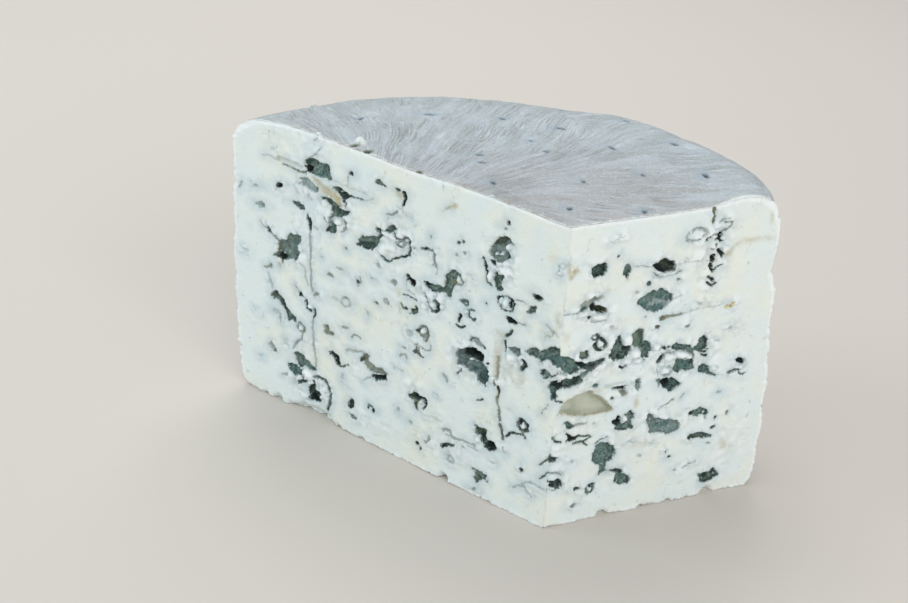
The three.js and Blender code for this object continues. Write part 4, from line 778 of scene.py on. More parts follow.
shortCutMarks["white"] = (
    blob(6.8, 73.6, 3.2, 1.7, 8), blob(12.4, 71.9, 4, 1.7, -6), blob(25.4, 35.2, 1.6, 2.2, 10),
    blob(43.6, 54.2, 5.6, 2.2, -8), blob(39.6, 54, 3.6, 2.4), blob(46.6, 53.2, 2.6, 1.4), blob(23.4, 62.6, 3.6, 3),
    blob(26.4, 57.6, 3.2, 2.6), blob(24, 55.4, 3.4, 1.5), blob(28.2, 54.6, 2.6, 1.4), blob(-2.4, 54.2, 3, 2),
    blob(0.8, 53.8, 3.2, 1.6), blob(-3, 56.6, 2.2, 1.4), blob(35, 82.8, 5.6, 1.1, 4), blob(38.4, 49.6, 2.6, 2.2),
    blob(34, 58.4, 2.4, 2), blob(36.6, 52.2, 2, 1.4), blob(56.4, 47.6, 2, 1.2), blob(66.4, 46.2, 3, 1),
    blob(-2.6, 88.2, 3, 3), blob(-1.4, 90.4, 2.4, 1.6), blob(-2.4, 70.6, 2.4, 2.4), blob(22.4, 47.4, 4.4, 0.7),
)


painting = {
    "along": (-8, 152),  # the maps reach a little past the cuts
    "up": (-4, 112),
    "margin": 6,  # how far past its own extent a mark is worked out
    "away": -6.0,  # value of the mould map far from every mark
    "warp": ((0.2, 2.6), (0.18, 1.1), (0.12, 0.5)),  # how far outlines wander, and over what length
    "frayWaves": ((0.7, 1.3), (1, 0.6)),
    "unevenWaves": ((1, 1.5), (0.5, 0.7)),  # of the floors of hollows and the crumbs left in them
    # What holds where neither a mark nor its kind says otherwise. The outline breaks up by "fray" times the half
    # width, and lies "grow" outside the one that is drawn.
    "plain": {"fray": 0.3, "grow": 0.05, "tone": 0.0, "show": 1.0, "crumbs": 0.0},
    "frayWidest": 1.7,
    "haze": (0.68, 0.15),  # soft grey round the marks, in the long and the short cut
    "hazeReach": 3.4,
    "patchWave": 5.5,  # size of the places where crumbs and haze gather
    "lumpSize": 2.2,  # crumbs of paste beside and inside the marks
    "lumpHeight": 1.1,
    "lumpBelt": 3.4,  # how far from a mark the crumbs reach
    "lumpShare": 0.75,
    "grainSize": 2.2,
    "grainHeight": 0.16,
}


def billow(x, y, z, wave):
    coarse = np.abs(smoothNoise(x / wave, y / wave, z))
    fine = np.abs(smoothNoise(2.1 * x / wave, 2.1 * y / wave, z + 5))
    return np.clip(1.9 * (coarse + 0.5 * fine), 0, 1)


# Noise on a map, summed over waves that are each given as height and length
def layered(waves, s, z, seed):
    return sum(high * smoothNoise(s / wave, z / wave, seed + 3 * k) for k, (high, wave) in enumerate(waves))


# The part of the maps that a mark can touch
def markWindow(mark, s, z):
    low, high, bottom, top, _ = markExtent(mark)
    margin, step = painting["margin"], meshing["mapStep"]
    first, last = int((low - margin - s[0]) / step), int((high + margin - s[0]) / step)
    lowest, highest = int((bottom - margin - z[0]) / step), int((top + margin - z[0]) / step)
    return slice(max(0, lowest), highest), slice(max(0, first), last)


def paintMarks(marks, seed, haze):
    step = meshing["mapStep"]
    s, z = np.arange(*painting["along"], step), np.arange(*painting["up"], step)
    gridS, gridZ = np.meshgrid(s, z)
    wander = [
        sum(high * smoothNoise(gridS / wave, gridZ / wave, seed + shift + 9 * high) for high, wave in painting["warp"])
        for shift in (0.5, 3.5)
    ]
    gridS, gridZ = gridS + wander[0], gridZ + wander[1]
    fray = layered(painting["frayWaves"], gridS, gridZ, seed + 21.5)
    uneven = layered(painting["unevenWaves"], gridS, gridZ, seed + 11.5)
    crumbs = layered(painting["unevenWaves"], gridS, gridZ, seed + 61.5)
    lump = billow(gridS, gridZ, seed + 33.5, painting["lumpSize"])
    names = ("dark", "tone", "show", "depth", "stain", "zone", "whites", "gapShade")
    maps = {name: np.zeros(gridS.shape) for name in names}
    maps["mould"] = np.full(gridS.shape, painting["away"])

    def lift(name, window, values):
        maps[name][window] = np.maximum(maps[name][window], values)

    # A patch of mould: deeper under its upper edge, with crumbs left in it; the darkest get painted shade towards
    # their upper edge
    def addMould(given, window, distance, height):
        bottom, top, half = height
        if given["crumbs"] > 0:
            distance = np.minimum(distance, (1.15 - 0.35 * given["crumbs"] - crumbs[window]) * 2)
        wins = (distance > maps["mould"][window]) | (distance > 0.05)
        for name in ("tone", "show"):
            maps[name][window] = np.where(wins, given[name], maps[name][window])
        lift("mould", window, distance)
        rise = np.clip((gridZ[window] - (bottom + top) / 2) / max(top - bottom, 1) * 2, -1, 1)
        shade = given["dark"]
        # painted shade: the darkest marks are darker towards their upper edge
        lift("dark", window, shade * smooth(-0.3, 0.45, distance) * (0.85 + 0.25 * rise * (shade > 0.5)))
        deep = given["deep"] * min(1, 0.3 + half / 2)
        floor = deep * (1 + 0.3 * rise + 0.4 * uneven[window])
        lift("depth", window, floor * smooth(-0.15, 0.3 + 0.2 * deep, distance))

    # Paste that stands in the mould, with painted shade as a grey gap round it
    def addWhite(given, window, distance):
        risen = smooth(-0.2, 0.5, distance)
        lift("whites", window, risen)
        lift("gapShade", window, smooth(0.42, 0.1, np.abs(distance + 0.3)))
        maps["mould"][window] = np.minimum(maps["mould"][window], np.maximum(-distance, -1.5))
        maps["depth"][window] = maps["depth"][window] * (1 - risen) + given["deep"] * risen

    for kind, look in markKinds.items():
        for mark in marks.get(kind, ()):
            given = {**painting["plain"], **look, **mark}
            window = markWindow(mark, s, z)
            *_, bottom, top, half = markExtent(mark)
            distance = markDistance(mark, gridS[window], gridZ[window]) + given["grow"]
            distance = distance + given["fray"] * min(half, painting["frayWidest"]) * fray[window]
            if kind == "crumbly":
                lift("zone", window, given["show"] * smooth(-1.5, 2.5, distance))
            elif "stain" in look:
                lift("stain", window, given["stain"] * smooth(-0.6, 0.9, distance))
                lift("depth", window, given["deep"] * smooth(-0.1, 1.1, distance))
            elif kind == "white":
                addWhite(given, window, distance)
            else:
                addMould(given, window, distance, (bottom, top, half))

    zone, whites, gapShade = (maps.pop(name) for name in ("zone", "whites", "gapShade"))
    away = -maps["mould"]
    patchy = smooth(-0.4, 0.4, smoothNoise(gridS / painting["patchWave"], gridZ / painting["patchWave"], seed + 41.5))
    belt = painting["lumpShare"] * smooth(painting["lumpBelt"], 0.4, away) * patchy
    belt = np.maximum(belt, zone * (0.35 + 0.65 * patchy)) * smooth(-0.9, 0.1, away)
    maps["lump"] = np.maximum(belt * lump, whites)
    hazy = haze * smooth(painting["hazeReach"], 0.2, away) * (0.4 + 0.6 * patchy) * (1 - 0.7 * belt)
    # painted shade: grey in the creases between crumbs and in the gaps round standing paste, together with the soft
    # grey tint round the marks
    maps["crease"] = np.maximum(np.maximum(belt * (1 - lump), gapShade), hazy) * (1 - whites)
    grain = painting["grainHeight"] * roughness(gridS, gridZ, seed + 51.5, painting["grainSize"])
    maps["depth"] -= painting["lumpHeight"] * belt * (lump - 0.35) + grain
    return {"s": s, "z": z, "step": step, **maps}


def readMap(maps, name, s, z):
    grid = maps[name]
    i = np.clip((z - maps["z"][0]) / maps["step"], 0, grid.shape[0] - 1.001)
    j = np.clip((s - maps["s"][0]) / maps["step"], 0, grid.shape[1] - 1.001)
    i0, j0 = i.astype(int), j.astype(int)
    fi, fj = i - i0, j - j0
    low = grid[i0, j0] * (1 - fj) + grid[i0, j0 + 1] * fj
    high = grid[i0 + 1, j0] * (1 - fj) + grid[i0 + 1, j0 + 1] * fj
    return low * (1 - fi) + high * fi


print("painting the marks of the two cuts")
cutMaps = {
    "long": paintMarks(longCutMarks, 0, painting["haze"][0]),
    "short": paintMarks(shortCutMarks, 100, painting["haze"][1]),
}
looks = ("mould", "tone", "show", "dark", "stain", "lump", "crease", "rim", "turn", "flow", "seam")

# Every point of the body: place in millimetres round the axis, and what its surface looks like
places = []
surface = {name: [] for name in looks}


def addPoints(x, y, z, **values):
    first = len(places)
    x, y, z = np.broadcast_arrays(np.asarray(x, float), y, z)
    radius = np.hypot(x - lean(z), y)
    values = {"turn": angleOf(x - lean(z), y), "flow": radius + loaf["height"] - z, **values}
    places.extend(zip(x.tolist(), y.tolist(), z.tolist()))
    for name in looks:
        value = np.broadcast_to(values.get(name, -6.0 if name == "mould" else 0.0), x.shape)
        surface[name].extend(value.tolist())
    return list(range(first, len(places)))


# What the maps of a cut say at a place
def cutLooks(name, s, z):
    maps = cutMaps[name]
    return {kind: readMap(maps, kind, s, z) for kind in maps if kind in looks or kind == "depth"}


# Places moved out of the plane of a cut
def pushed(cut, x, y, push):
    return x + push * cut["outward"][0], y + push * cut["outward"][1]


edgeWear = {
    "seeds": {
        "long": {"top": 13.5, "outer": 3.5, "bottom": 23.5},
        "short": {"top": 18.5, "outer": 8.5, "bottom": 28.5},
    },
    "reach": 0.9,  # how far from an edge its wear goes
    "bends": (0.45, 4.3),  # height and wave
    "teeth": ((0.6, 1.4), (0.6, 0.8)),
    "toothless": 0.3,  # what is left of the teeth in smoother places
    "patchWave": 6.5,
    "chips": (1.1, 2.1),
    "proudest": 0.6,  # how far a tooth may stand out
    "sharp": 0.35,  # the sharp upright edge is worn by this and by its own waves
    "sharpWaves": ((0.3, 3.1), (0.2, 1.1)),
    "sharpDeepest": 2.2,
    "bevel": 1.18,  # what that makes along the line that halves the corner
    "tipDrop": 0.3,  # the top of the sharp edge is lower by this
    "nearSharp": 1.35,  # how steeply hollows may get deeper from the sharp edge on
    "nearOuter": (0.3, 1.2),  # and how deep they are at the outer edge, and how steep from there
    "onTop": 0.7,  # share of the wear that also lowers the rind,
    "intoCut": 0.7,  # that goes into the cut at its outer edge
    "intoSide": 0.6,  # and into the round side
    "lift": 0.12,  # the lower edges are clear of the ground
}


# How far a cut's edge is chipped at each place along it
def rimWear(t, seed):
    def wave(length, layer):
        return smoothNoise(t / length, seed, layer)

    patchy = smooth(-0.45, 0.35, wave(edgeWear["patchWave"], 73.5))
    teeth = sum(high * wave(length, 75.5 + 2 * k) for k, (high, length) in enumerate(edgeWear["teeth"]))
    bend, bendWave = edgeWear["bends"]
    left = edgeWear["toothless"]
    worn = bend * wave(bendWave, 71.5) + (left + (1 - left) * patchy) * teeth
    chip, chipWave = edgeWear["chips"]
    return np.maximum(-edgeWear["proudest"], worn) + chip * smooth(0.3, 0.7, wave(chipWave, 79.5))


def fadedWear(t, seed, away):
    return rimWear(t, seed) * np.exp(-(np.maximum(0, away) / edgeWear["reach"]) ** 2)


# The cuts are flat towards their upright edges
def reliefFade(share):
    return np.clip(np.minimum(share, 1 - share) / loaf["cutReliefFade"], 0, 1)


# How far the sharp upright edge is worn in at each height
def cutEdgeDepth(z):
    ragged = edgeWear["sharp"] + sum(
        high * smoothNoise(z / wave, 0.5, 61.5 + 3 * k) for k, (high, wave) in enumerate(edgeWear["sharpWaves"])
    )
    both = sum(readMap(maps, "depth", 0 * z, z) for maps in cutMaps.values()) / 2
    return np.maximum(0, ragged) + np.clip(both, 0, edgeWear["sharpDeepest"])


# A point in the face of a cut, with its hollows, the wear of its edges and what its surface looks like
def cutPoint(name, s, z):
    cut = cuts[name]
    reach = cutReach(cut, z)
    x, y = cutPlan(cut, s)
    found = cutLooks(name, s, z)
    least, steep = edgeWear["nearOuter"]
    inward = np.minimum(found["depth"], cutEdgeDepth(z) + edgeWear["nearSharp"] * s)
    inward = np.minimum(inward, least + steep * np.maximum(0, reach - s))
    top = topHeight(x, y)
    seeds = edgeWear["seeds"][name]
    inward = inward + fadedWear(s, seeds["top"], top - z)
    inward = inward + edgeWear["intoCut"] * fadedWear(z, seeds["outer"], reach - s)
    push = reliefFade(s / reach) * relief(loaf["cutRelief"], x, y, z) - inward - fadedWear(s, seeds["bottom"], z)
    found["rim"] = np.minimum(np.minimum(top - z, z), reach - s)
    return addPoints(*pushed(cut, x, y, push - notchDepth(name, s, z)), z, **found)


# Chains of points along the edges, each shared by the faces on both sides
chains = {}
chainCut = {"long": {}, "short": {}}  # place of a point in the long or the short cut's own plane


def keepInCut(name, ids, s, z):
    chainCut[name].update({i: (float(a), float(b)) for i, a, b in zip(ids, np.broadcast_to(s, np.shape(z)), z)})


def frontEdge():
    cx, cy = loaf["corner"]
    lift = float(footLift(cx, cy))
    top = float(topHeight(cx, cy))
    z = np.linspace(lift, top, round((top - lift) / meshing["edgeStep"]) + 1)
    inward = -(longCut["outward"] + shortCut["outward"])
    inward = inward / np.linalg.norm(inward)
    bevel = cutEdgeDepth(z) * edgeWear["bevel"]
    found, other = (cutLooks(name, 0 * z, z) for name in cuts)
    for name in found:
        both = found[name], other[name]
        found[name] = np.maximum(*both) if name in ("mould", "dark") else (both[0] + both[1]) / 2
    found["rim"] = np.minimum(top - z, z)
    height = z.copy()
    height[-1] -= edgeWear["tipDrop"]
    chains["front"] = addPoints(cx + bevel * inward[0], cy + bevel * inward[1], height, **found)
    for name in chainCut:
        keepInCut(name, chains["front"], 0, z)


# The upright edge at the far end of a cut
def outerEdge(name):
    cut = cuts[name]
    rim = float(rimHeight(cut["endAngle"]))
    reach = float(cutReach(cut, rim))
    top = float(topHeight(*cutPlan(cut, reach)))
    rise = np.linspace(0, 1, round(top / meshing["edgeStep"]) + 1)
    s = cutReach(cut, rise * rim)
    x, y = cutPlan(cut, s)
    z = rise * top + footLift(x, y) * np.clip(1 - rise / loaf["footFade"], 0, 1)
    wear = rimWear(z, edgeWear["seeds"][name]["outer"])
    found = cutLooks(name, s, z)
    found["rim"] = 0 * z
    x, y = x - cut["direction"][0] * wear, y - cut["direction"][1] * wear
    chains[name + "Outer"] = addPoints(*pushed(cut, x, y, -edgeWear["intoCut"] * wear), z, **found)
    chains[name + "Rise"] = rise
    keepInCut(name, chains[name + "Outer"], s, z)


# The top or the bottom edge of a cut, between its two upright edges
def levelEdge(name, side):
    cut = cuts[name]
    end = -1 if side == "Top" else 0
    first, last = chains["front"][end], chains[name + "Outer"][end]
    reach = chainCut[name][last][0]
    s = np.linspace(0, reach, round(reach / meshing["edgeStep"]) + 1)[1:-1]
    x, y = cutPlan(cut, s)
    z = topHeight(x, y) if side == "Top" else footLift(x, y) + edgeWear["lift"]
    found = cutLooks(name, s, z)
    found["rim"] = 0 * z
    wear = rimWear(s, edgeWear["seeds"][name][side.lower()])
    push = reliefFade(s / reach) * relief(loaf["cutRelief"], x, y, z) - wear
    if side == "Top":
        push = push - np.maximum(-0.5, found["depth"])
        z = z - edgeWear["onTop"] * wear + np.clip(-found["depth"], 0, 0.8)
    else:
        push = push - notchDepth(name, s, z)
    ids = addPoints(*pushed(cut, x, y, push), z, **found)
    chains[name + side] = [first] + ids + [last]
    keepInCut(name, ids, s, z)


notches = {
    "long": (  # place along the edge, width, height and depth
        (101, 30, 5, 3.2), (98, 12, 5.5, 1.6), (118, 7, 3, 1.6), (41, 5, 3.4, 2), (125, 4, 2, 1.2), (78, 5, 2, 1),
    ),
    "short": ((61, 5, 4, 2.2), (21.5, 5.6, 3.4, 2), (46, 3, 2, 1), (36, 4, 2, 1)),
}


# How deep the places are where crumbs have gone from the lower edge
def notchDepth(name, s, z):
    depth = 0 * s
    ragged = 0.16 * roughness(s, z, 31.5, 2.4)
    for along, wide, high, deep in notches[name]:
        inside = 1 - np.hypot((s - along) / (wide / 2), (z + 0.5) / high) + ragged
        depth = np.maximum(depth, deep * smooth(0, 0.45, inside) * (1 + 2 * ragged))
    return depth


def sideAngles(name, end):
    x, y, z = places[chains[name + "Outer"][end]]
    return float(angleOf(x - lean(z), y))


def sidePlace(angle, rise):
    rim = rimHeight(angle)
    radius = sideRadius(angle, rise * rim)
    edge = sideRadius(angle, rim)
    top = topHeight(edge * np.cos(angle) + lean(rim), edge * np.sin(angle))
    x, y = radius * np.cos(angle) + lean(rise * rim), radius * np.sin(angle)
    z = rise * top + footLift(x, y) * np.clip(1 - rise / loaf["footFade"], 0, 1)
    return x, y, z


def roundEdge(rise, end, name):
    first, last = sideAngles("short", end), sideAngles("long", end)
    count = round((last - first) * loaf["radius"] / meshing["roundStep"])
    angle = np.linspace(first, last, count + 1)[1:-1]
    x, y, z = sidePlace(angle, rise)
    ids = addPoints(x, y, z + (edgeWear["lift"] if rise == 0 else 0), rim=-9.0, seam=rise)
    chains[name] = [chains["shortOuter"][end]] + ids + [chains["longOuter"][end]]
    chains[name + "Angle"] = [first] + angle.tolist() + [last]


faces = {"cut": [], "rind": []}


# Points on a triangular lattice, thinned out where the size of the faces may grow
def latticePoints(low, high, fine, coarsest, sizeAt, seed):
    columns = int((high[0] - low[0]) / fine) + 2
    rows = int((high[1] - low[1]) / (fine * math.sqrt(0.75))) + 2
    j, i = np.mgrid[0:rows, -rows // 2:columns]
    x = low[0] + fine * (i + j / 2)
    y = low[1] + fine * math.sqrt(0.75) * j
    inside = (x > low[0]) & (x < high[0]) & (y > low[1]) & (y < high[1])
    i, j, x, y = i[inside], j[inside], x[inside], y[inside]
    size = np.maximum(sizeAt(x, y), fine)
    level = np.clip(np.floor(np.log2(size / fine) + 1e-6), 0, coarsest).astype(int)
    keep = (i % 2 ** level == 0) & (j % 2 ** level == 0)
    random = np.random.default_rng(seed)
    shift = random.uniform(-1, 1, (2, keep.sum())) * meshing["jitter"] * fine * 2.0 ** level[keep]
    return x[keep] + shift[0], y[keep] + shift[1]


# A function that tells how far places are from the nearest of some points
def gapTo(points):
    tree = KDTree(len(points))
    for k, (u, v) in enumerate(points):
        tree.insert((u, v, 0), k)
    tree.balance()
    return lambda x, y: np.array([tree.find((u, v, 0))[2] for u, v in zip(x, y)])


def fillPatch(boundary, at, fine, coarsest, sizeAt, seed, pointAt, kind, flip):
    outline = np.array([at[i] for i in boundary])
    x, y = latticePoints(outline.min(0), outline.max(0), fine, coarsest, sizeAt, seed)
    keep = insideOutline(x, y, outline)
    x, y = x[keep], y[keep]
    keep = gapTo(outline)(x, y) > meshing["clearance"] * meshing["edgeStep"]
    x, y = x[keep], y[keep]
    count = len(outline)
    points = [Vector(p) for p in outline] + [Vector(p) for p in zip(x, y)]
    found = delaunay_2d_cdt(points, [], [list(range(count))], 0, 1e-7, True)
    source = np.array([rows[0] if rows else -1 for rows in found[3]])
    if (source < 0).any():
        raise ValueError(f"the outline of the patch with seed {seed} crosses itself")
    triangles = source[np.array(found[2])]
    flat = np.array([p[:] for p in points])
    rimOnly = (triangles < count).all(1)
    middle = flat[triangles].mean(1)
    rimOnly[rimOnly] = ~insideOutline(middle[rimOnly, 0], middle[rimOnly, 1], outline)
    triangles = triangles[~rimOnly]
    place = np.concatenate([boundary, pointAt(x, y)]).astype(int)
    triangles = place[triangles]
    faces[kind].append(triangles[:, ::-1] if flip else triangles)


def fillCut(name, seed, flip):
    cut = cuts[name]
    boundary = chains[name + "Bottom"] + chains[name + "Outer"][1:]
    boundary = boundary + chains[name + "Top"][-2::-1] + chains["front"][-2:0:-1]

    def sizeAt(s, z):
        inside = readMap(cutMaps[name], "mould", s, z)
        low, high = meshing["outlineBelt"]
        size = np.where((inside > low) & (inside <= high), meshing["fine"], 2 * meshing["fine"])
        top = topHeight(*cutPlan(cut, s))
        rim = np.minimum(np.minimum(top - z, z), np.minimum(cutReach(cut, z) - s, s))
        size = np.where(rim < meshing["rimBelt"], meshing["fine"], size)
        away, fromRim = meshing["plainPaste"]
        return np.where((inside < away) & (rim > fromRim), 4 * meshing["fine"], size)

    fillPatch(
        boundary, chainCut[name], meshing["fine"], meshing["cutCoarsest"], sizeAt, seed,
        partial(cutPoint, name), "cut", flip,
    )


# How far along a cut a place is, and how far behind its plane
def behindCut(cut, x, y):
    x, y = x - loaf["corner"][0], y - loaf["corner"][1]
    along = x * cut["direction"][0] + y * cut["direction"][1]
    return along, -x * cut["outward"][0] - y * cut["outward"][1]


def cutDistance(x, y):
    return np.minimum(behindCut(longCut, x, y)[1], behindCut(shortCut, x, y)[1])


def rindWear(x, y, z, edge):
    worn = 0
    for name, cut in cuts.items():
        along, away = behindCut(cut, x, y)
        worn = worn + fadedWear(along if edge == "top" else z, edgeWear["seeds"][name][edge], away)
    return worn


print("shaping the edges")
frontEdge()
for name in cuts:
    outerEdge(name)
    levelEdge(name, "Top")
    levelEdge(name, "Bottom")
roundEdge(1.0, -1, "rim")
roundEdge(0.0, 0, "foot")

print("filling the two cuts")
fillCut("long", 11, True)
fillCut("short", 12, False)

topRind = {
    "needles": (  # place and size
        (4, 6, 1), (-10, 18, 0.85), (-15, 23, 0.85), (31, 8, 1), (22, 28, 0.8), (-1, 40, 0.7), (-12, 46, 0.75),
        (48, 22, 1.2), (32, 46, 1), (-63, 19, 0.9), (-51, 41, 1.5), (-32, 57, 0.85), (-12, 63, 1.15), (11, 60, 1),
        (45, 62, 1.3), (-25, 83, 1.1), (0, 85, 1), (23, 79, 1.3),
    ),
    "slots": ((-47, -1, 1.2), (-40, -2.6, 1.3), (-18, -3, 1)),  # olive slots at the long cut's rim
    "crumbs": (  # place, width and height of loose crumbs of paste
        (-48.6, 3.6, 3, 1.3), (-46.6, 2.2, 2.4, 1), (-88, 22, 1.6, 1.8),
        (-62, -2, 1.4, 0.5), (44, 5, 1.2, 0.5), (10, -2.4, 1, 0.5),
    ),
    "stretch": 1.8,
    "depth": 2.0,
    "relief": (0.16, 2.6),  # height and size of the rind's own bumps
    "fan": ((0, -44), (-20, -14)),  # the streaks of the left and the right part come from these places
    "fanTurn": (-5, 22),  # across the piece, where one fan passes into the other
    "bare": (92, 0.07, 2.6),  # from here on the rind draws back from the long cut: millimetre by millimetre, at most
    "bareEnd": (1.6, 52, 7),  # and over the short cut's end: by how much, where, over what reach
    "seam": (3.2, 1.2),  # no streaks this near to the rim, where they meet those of the side
}


# Distance to the nearest needle hole, each a slot that lies across the streaks
def needleDistance(x, y, kind):
    away = np.full(np.shape(x), 99.0)
    for px, py, size in topRind[kind]:
        radius = math.hypot(px, py)
        out = ((x - px) * px + (y - py) * py) / radius
        across = ((y - py) * px - (x - px) * py) / radius
        away = np.minimum(away, np.hypot(out, across / topRind["stretch"]) / size)
    return away


# Crumbs of paste that lie on the top: height above it, and how far a place is inside the nearest one
def crumbHeight(x, y):
    height, inside = np.zeros(np.shape(x)), np.full(np.shape(x), -9.0)
    ragged = 0.25 * roughness(x, y, 12.5, 1.6)
    for px, py, wide, high in topRind["crumbs"]:
        share = np.hypot(x - px, y - py) / (wide / 2) - ragged
        height = np.maximum(height, high * np.sqrt(np.clip(1 - share ** 2, 0, 1)))
        inside = np.maximum(inside, (1 - share) * wide / 2)
    return height, inside


# The streaks of the top as angle and distance from the place where they start
def topStreaks(x, y):
    (leftX, leftY), (rightX, rightY) = topRind["fan"]
    share = smooth(*topRind["fanTurn"], x)
    fanX = x - leftX - share * (rightX - leftX)
    fanY = y - leftY - share * (rightY - leftY)
    return {"turn": np.arctan2(fanY, fanX), "flow": np.hypot(fanX, fanY)}


# Width of the pale border where the rind draws back from the cuts
def bareWidth(x, y, edge):
    start, growth, most = topRind["bare"]
    width, place, reach = topRind["bareEnd"]
    along = (loaf["corner"][0] - x) * smooth(6, 0, edge)
    overShort = width * np.exp(-((y - place) / reach) ** 2) * smooth(9, 2, edge) * (x > loaf["corner"][0])
    return np.clip((along - start) * growth, 0, most) + overShort


def fillTop():
    print("laying the top rind")
    boundary = chains["longTop"] + chains["rim"][-2::-1] + chains["shortTop"][-2:0:-1]
    at = {i: places[i][:2] for i in boundary}
    fine = meshing["topFine"]

    def holeDistance(x, y):
        return np.minimum(needleDistance(x, y, "needles"), needleDistance(x, y, "slots"))

    def sizeAt(x, y):
        near = (cutDistance(x, y) < 1.2) | (holeDistance(x, y) < 1.8) | (crumbHeight(x, y)[1] > -0.8)
        return np.where(near, fine, 2 * fine)

    def pointAt(x, y):
        edge = np.maximum(0, cutDistance(x, y))
        z = topHeight(x, y)
        high, size = topRind["relief"]
        worn = edgeWear["onTop"] * rindWear(x, y, z, "top")
        z = z - worn + high * roughness(x, y, 5.5, size) * smooth(0, 1, edge)
        ragged = 0.2 * roughness(x, y, 15.5, 1.4)
        hole = holeDistance(x, y) + ragged
        z = z - topRind["depth"] * smooth(0.85, 0.2, hole) * smooth(0.2, 1.2, edge)
        height, inside = crumbHeight(x, y)
        angle = angleOf(x - lean(z), y)
        outer = np.array([sideRadius(a, rimHeight(a)) for a in angle]) - np.hypot(x - lean(z), y)
        looks = {
            "rim": np.maximum(-edge + bareWidth(x, y, edge), -1.6 - outer),
            # painted shade: the needle holes are darkened
            "dark": smooth(1.0, 0.4, hole),
            "stain": smooth(1.6, 0.6, needleDistance(x, y, "slots") + ragged),
            "show": smooth(-0.5, 0.1, inside),  # loose crumbs
            "seam": smooth(*topRind["seam"], outer),
        }
        beside = needleDistance(x + 0.9, y + 0.5, "needles") + 1.1 * roughness(x, y, 8.5, 2.0)
        return addPoints(x, y, z + height, lump=smooth(2.8, 0.8, beside), **looks, **topStreaks(x, y))

    fillPatch(boundary, at, fine, 1, sizeAt, 13, pointAt, "rind", False)


def fillSide():
    print("laying the rind of the round side")
    rises = np.linspace(0, 1, 400)
    middle = (shortCut["endAngle"] + longCut["endAngle"]) / 2
    x, y, z = sidePlace(np.full(400, middle), rises)
    radius = np.hypot(x, y)
    length = np.concatenate([[0], np.cumsum(np.hypot(np.diff(radius), np.diff(z)))])
    turn = loaf["radius"]
    at = {}
    for name in cuts:
        for i, rise in zip(chains[name + "Outer"], chains[name + "Rise"]):
            px, py, pz = places[i]
            at[i] = (float(angleOf(px - lean(pz), py)) * turn, float(np.interp(rise, rises, length)))
    for name, v in (("rim", length[-1]), ("foot", 0.0)):
        for i, angle in zip(chains[name][1:-1], chains[name + "Angle"][1:-1]):
            at[i] = (angle * turn, float(v))
    boundary = chains["foot"] + chains["longOuter"][1:] + chains["rim"][-2::-1] + chains["shortOuter"][-2:0:-1]

    def spread(u, v):
        return u / turn, np.interp(v, length, rises)

    def sizeAt(u, v):
        x, y, _ = sidePlace(*spread(u, v))
        edge = cutDistance(x, y)
        return meshing["sideFine"] * np.where(edge < 1.0, 1, np.where(edge < 2.6, 2, 4))

    def pointAt(u, v):
        angle, rise = spread(u, v)
        x, y, z = sidePlace(angle, rise)
        edge = np.maximum(0, cutDistance(x, y))
        out = 0.2 * roughness(x, y, z, 3.2) * smooth(0, 1, edge)
        out = out - edgeWear["intoSide"] * rindWear(x, y, z, "outer")
        seam = smooth(length[-1] - 3.4, length[-1] - 0.6, v)
        return addPoints(x + out * np.cos(angle), y + out * np.sin(angle), z, rim=-edge, seam=seam)

    fillPatch(boundary, at, meshing["sideFine"], meshing["rindCoarsest"], sizeAt, 14, pointAt, "rind", False)


def fillBase():
    print("laying the rind of the base")
    boundary = chains["longBottom"] + chains["foot"][-2::-1] + chains["shortBottom"][-2:0:-1]
    at = {i: places[i][:2] for i in boundary}
    edgeGap = gapTo([at[i] for i in boundary])

    def sizeAt(x, y):
        edge = edgeGap(x, y)
        return meshing["sideFine"] * np.where(edge < 1.0, 1, np.where(edge < 2.2, 2, np.where(edge < 6, 4, 8)))

    def pointAt(x, y):
        edge = edgeGap(x, y)
        z = 0.5 * smooth(1.6, 0, edge) * np.maximum(0, smoothNoise(x / 3, y / 3, 50.5))
        return addPoints(x, y, z, rim=-edge)

    fillPatch(boundary, at, meshing["sideFine"], meshing["rindCoarsest"], sizeAt, 15, pointAt, "rind", True)


fillTop()
fillSide()
fillBase()


def addObject(name, data):
    made = bpy.data.objects.new(name, data)
    bpy.context.scene.collection.objects.link(made)
    return made


def makeBody():
    place = np.array(places)
    place[:, :2] += loaf["axisPlace"]
    triangles = np.vstack(faces["cut"] + faces["rind"])
    cutCount = sum(len(t) for t in faces["cut"])
    mesh = bpy.data.meshes.new("roquefortPiece")
    mesh.from_pydata((place * metre).tolist(), [], triangles.tolist())
    for name in looks:
        attribute = mesh.attributes.new(name, "FLOAT", "POINT")
        attribute.data.foreach_set("value", np.array(surface[name], np.float32))
    index = np.zeros(len(triangles), np.int32)
    index[cutCount:] = 1
    mesh.polygons.foreach_set("material_index", index)
    mesh.polygons.foreach_set("use_smooth", np.ones(len(triangles), bool))
    mesh.update()
    print(f"the body has {len(triangles)} faces and {len(place)} points")
    return addObject("cheeseBody", mesh)


cheeseBody = makeBody()


# Materials
def addNode(tree, kind, inputs=None, **settings):
    made = tree.nodes.new(kind)
    for name, value in settings.items():
        setattr(made, name, value)
    for socket, value in (inputs or {}).items():
        if isinstance(value, bpy.types.NodeSocket):
            tree.links.new(value, made.inputs[socket])
        else:
            made.inputs[socket].default_value = value
    return made


def calculate(tree, operation, *values):
    made = addNode(tree, "ShaderNodeMath", dict(enumerate(values)), operation=operation)
    return made.outputs[0]


# The first times the second, and the third added to it
def addTimes(tree, first, second, third):
    return calculate(tree, "MULTIPLY_ADD", first, second, third)


def blendColour(tree, factor, first, second, mode="MIX"):
    made = addNode(tree, "ShaderNodeMix", {"Factor": factor, 6: first, 7: second}, data_type="RGBA", blend_type=mode)
    return made.outputs[2]


def softStep(tree, value, low, high, start=0.0, end=1.0):
    made = addNode(tree, "ShaderNodeMapRange", {
        "Value": value, "From Min": low, "From Max": high, "To Min": start, "To Max": end,
    }, interpolation_type="SMOOTHSTEP")
    return made.outputs["Result"]


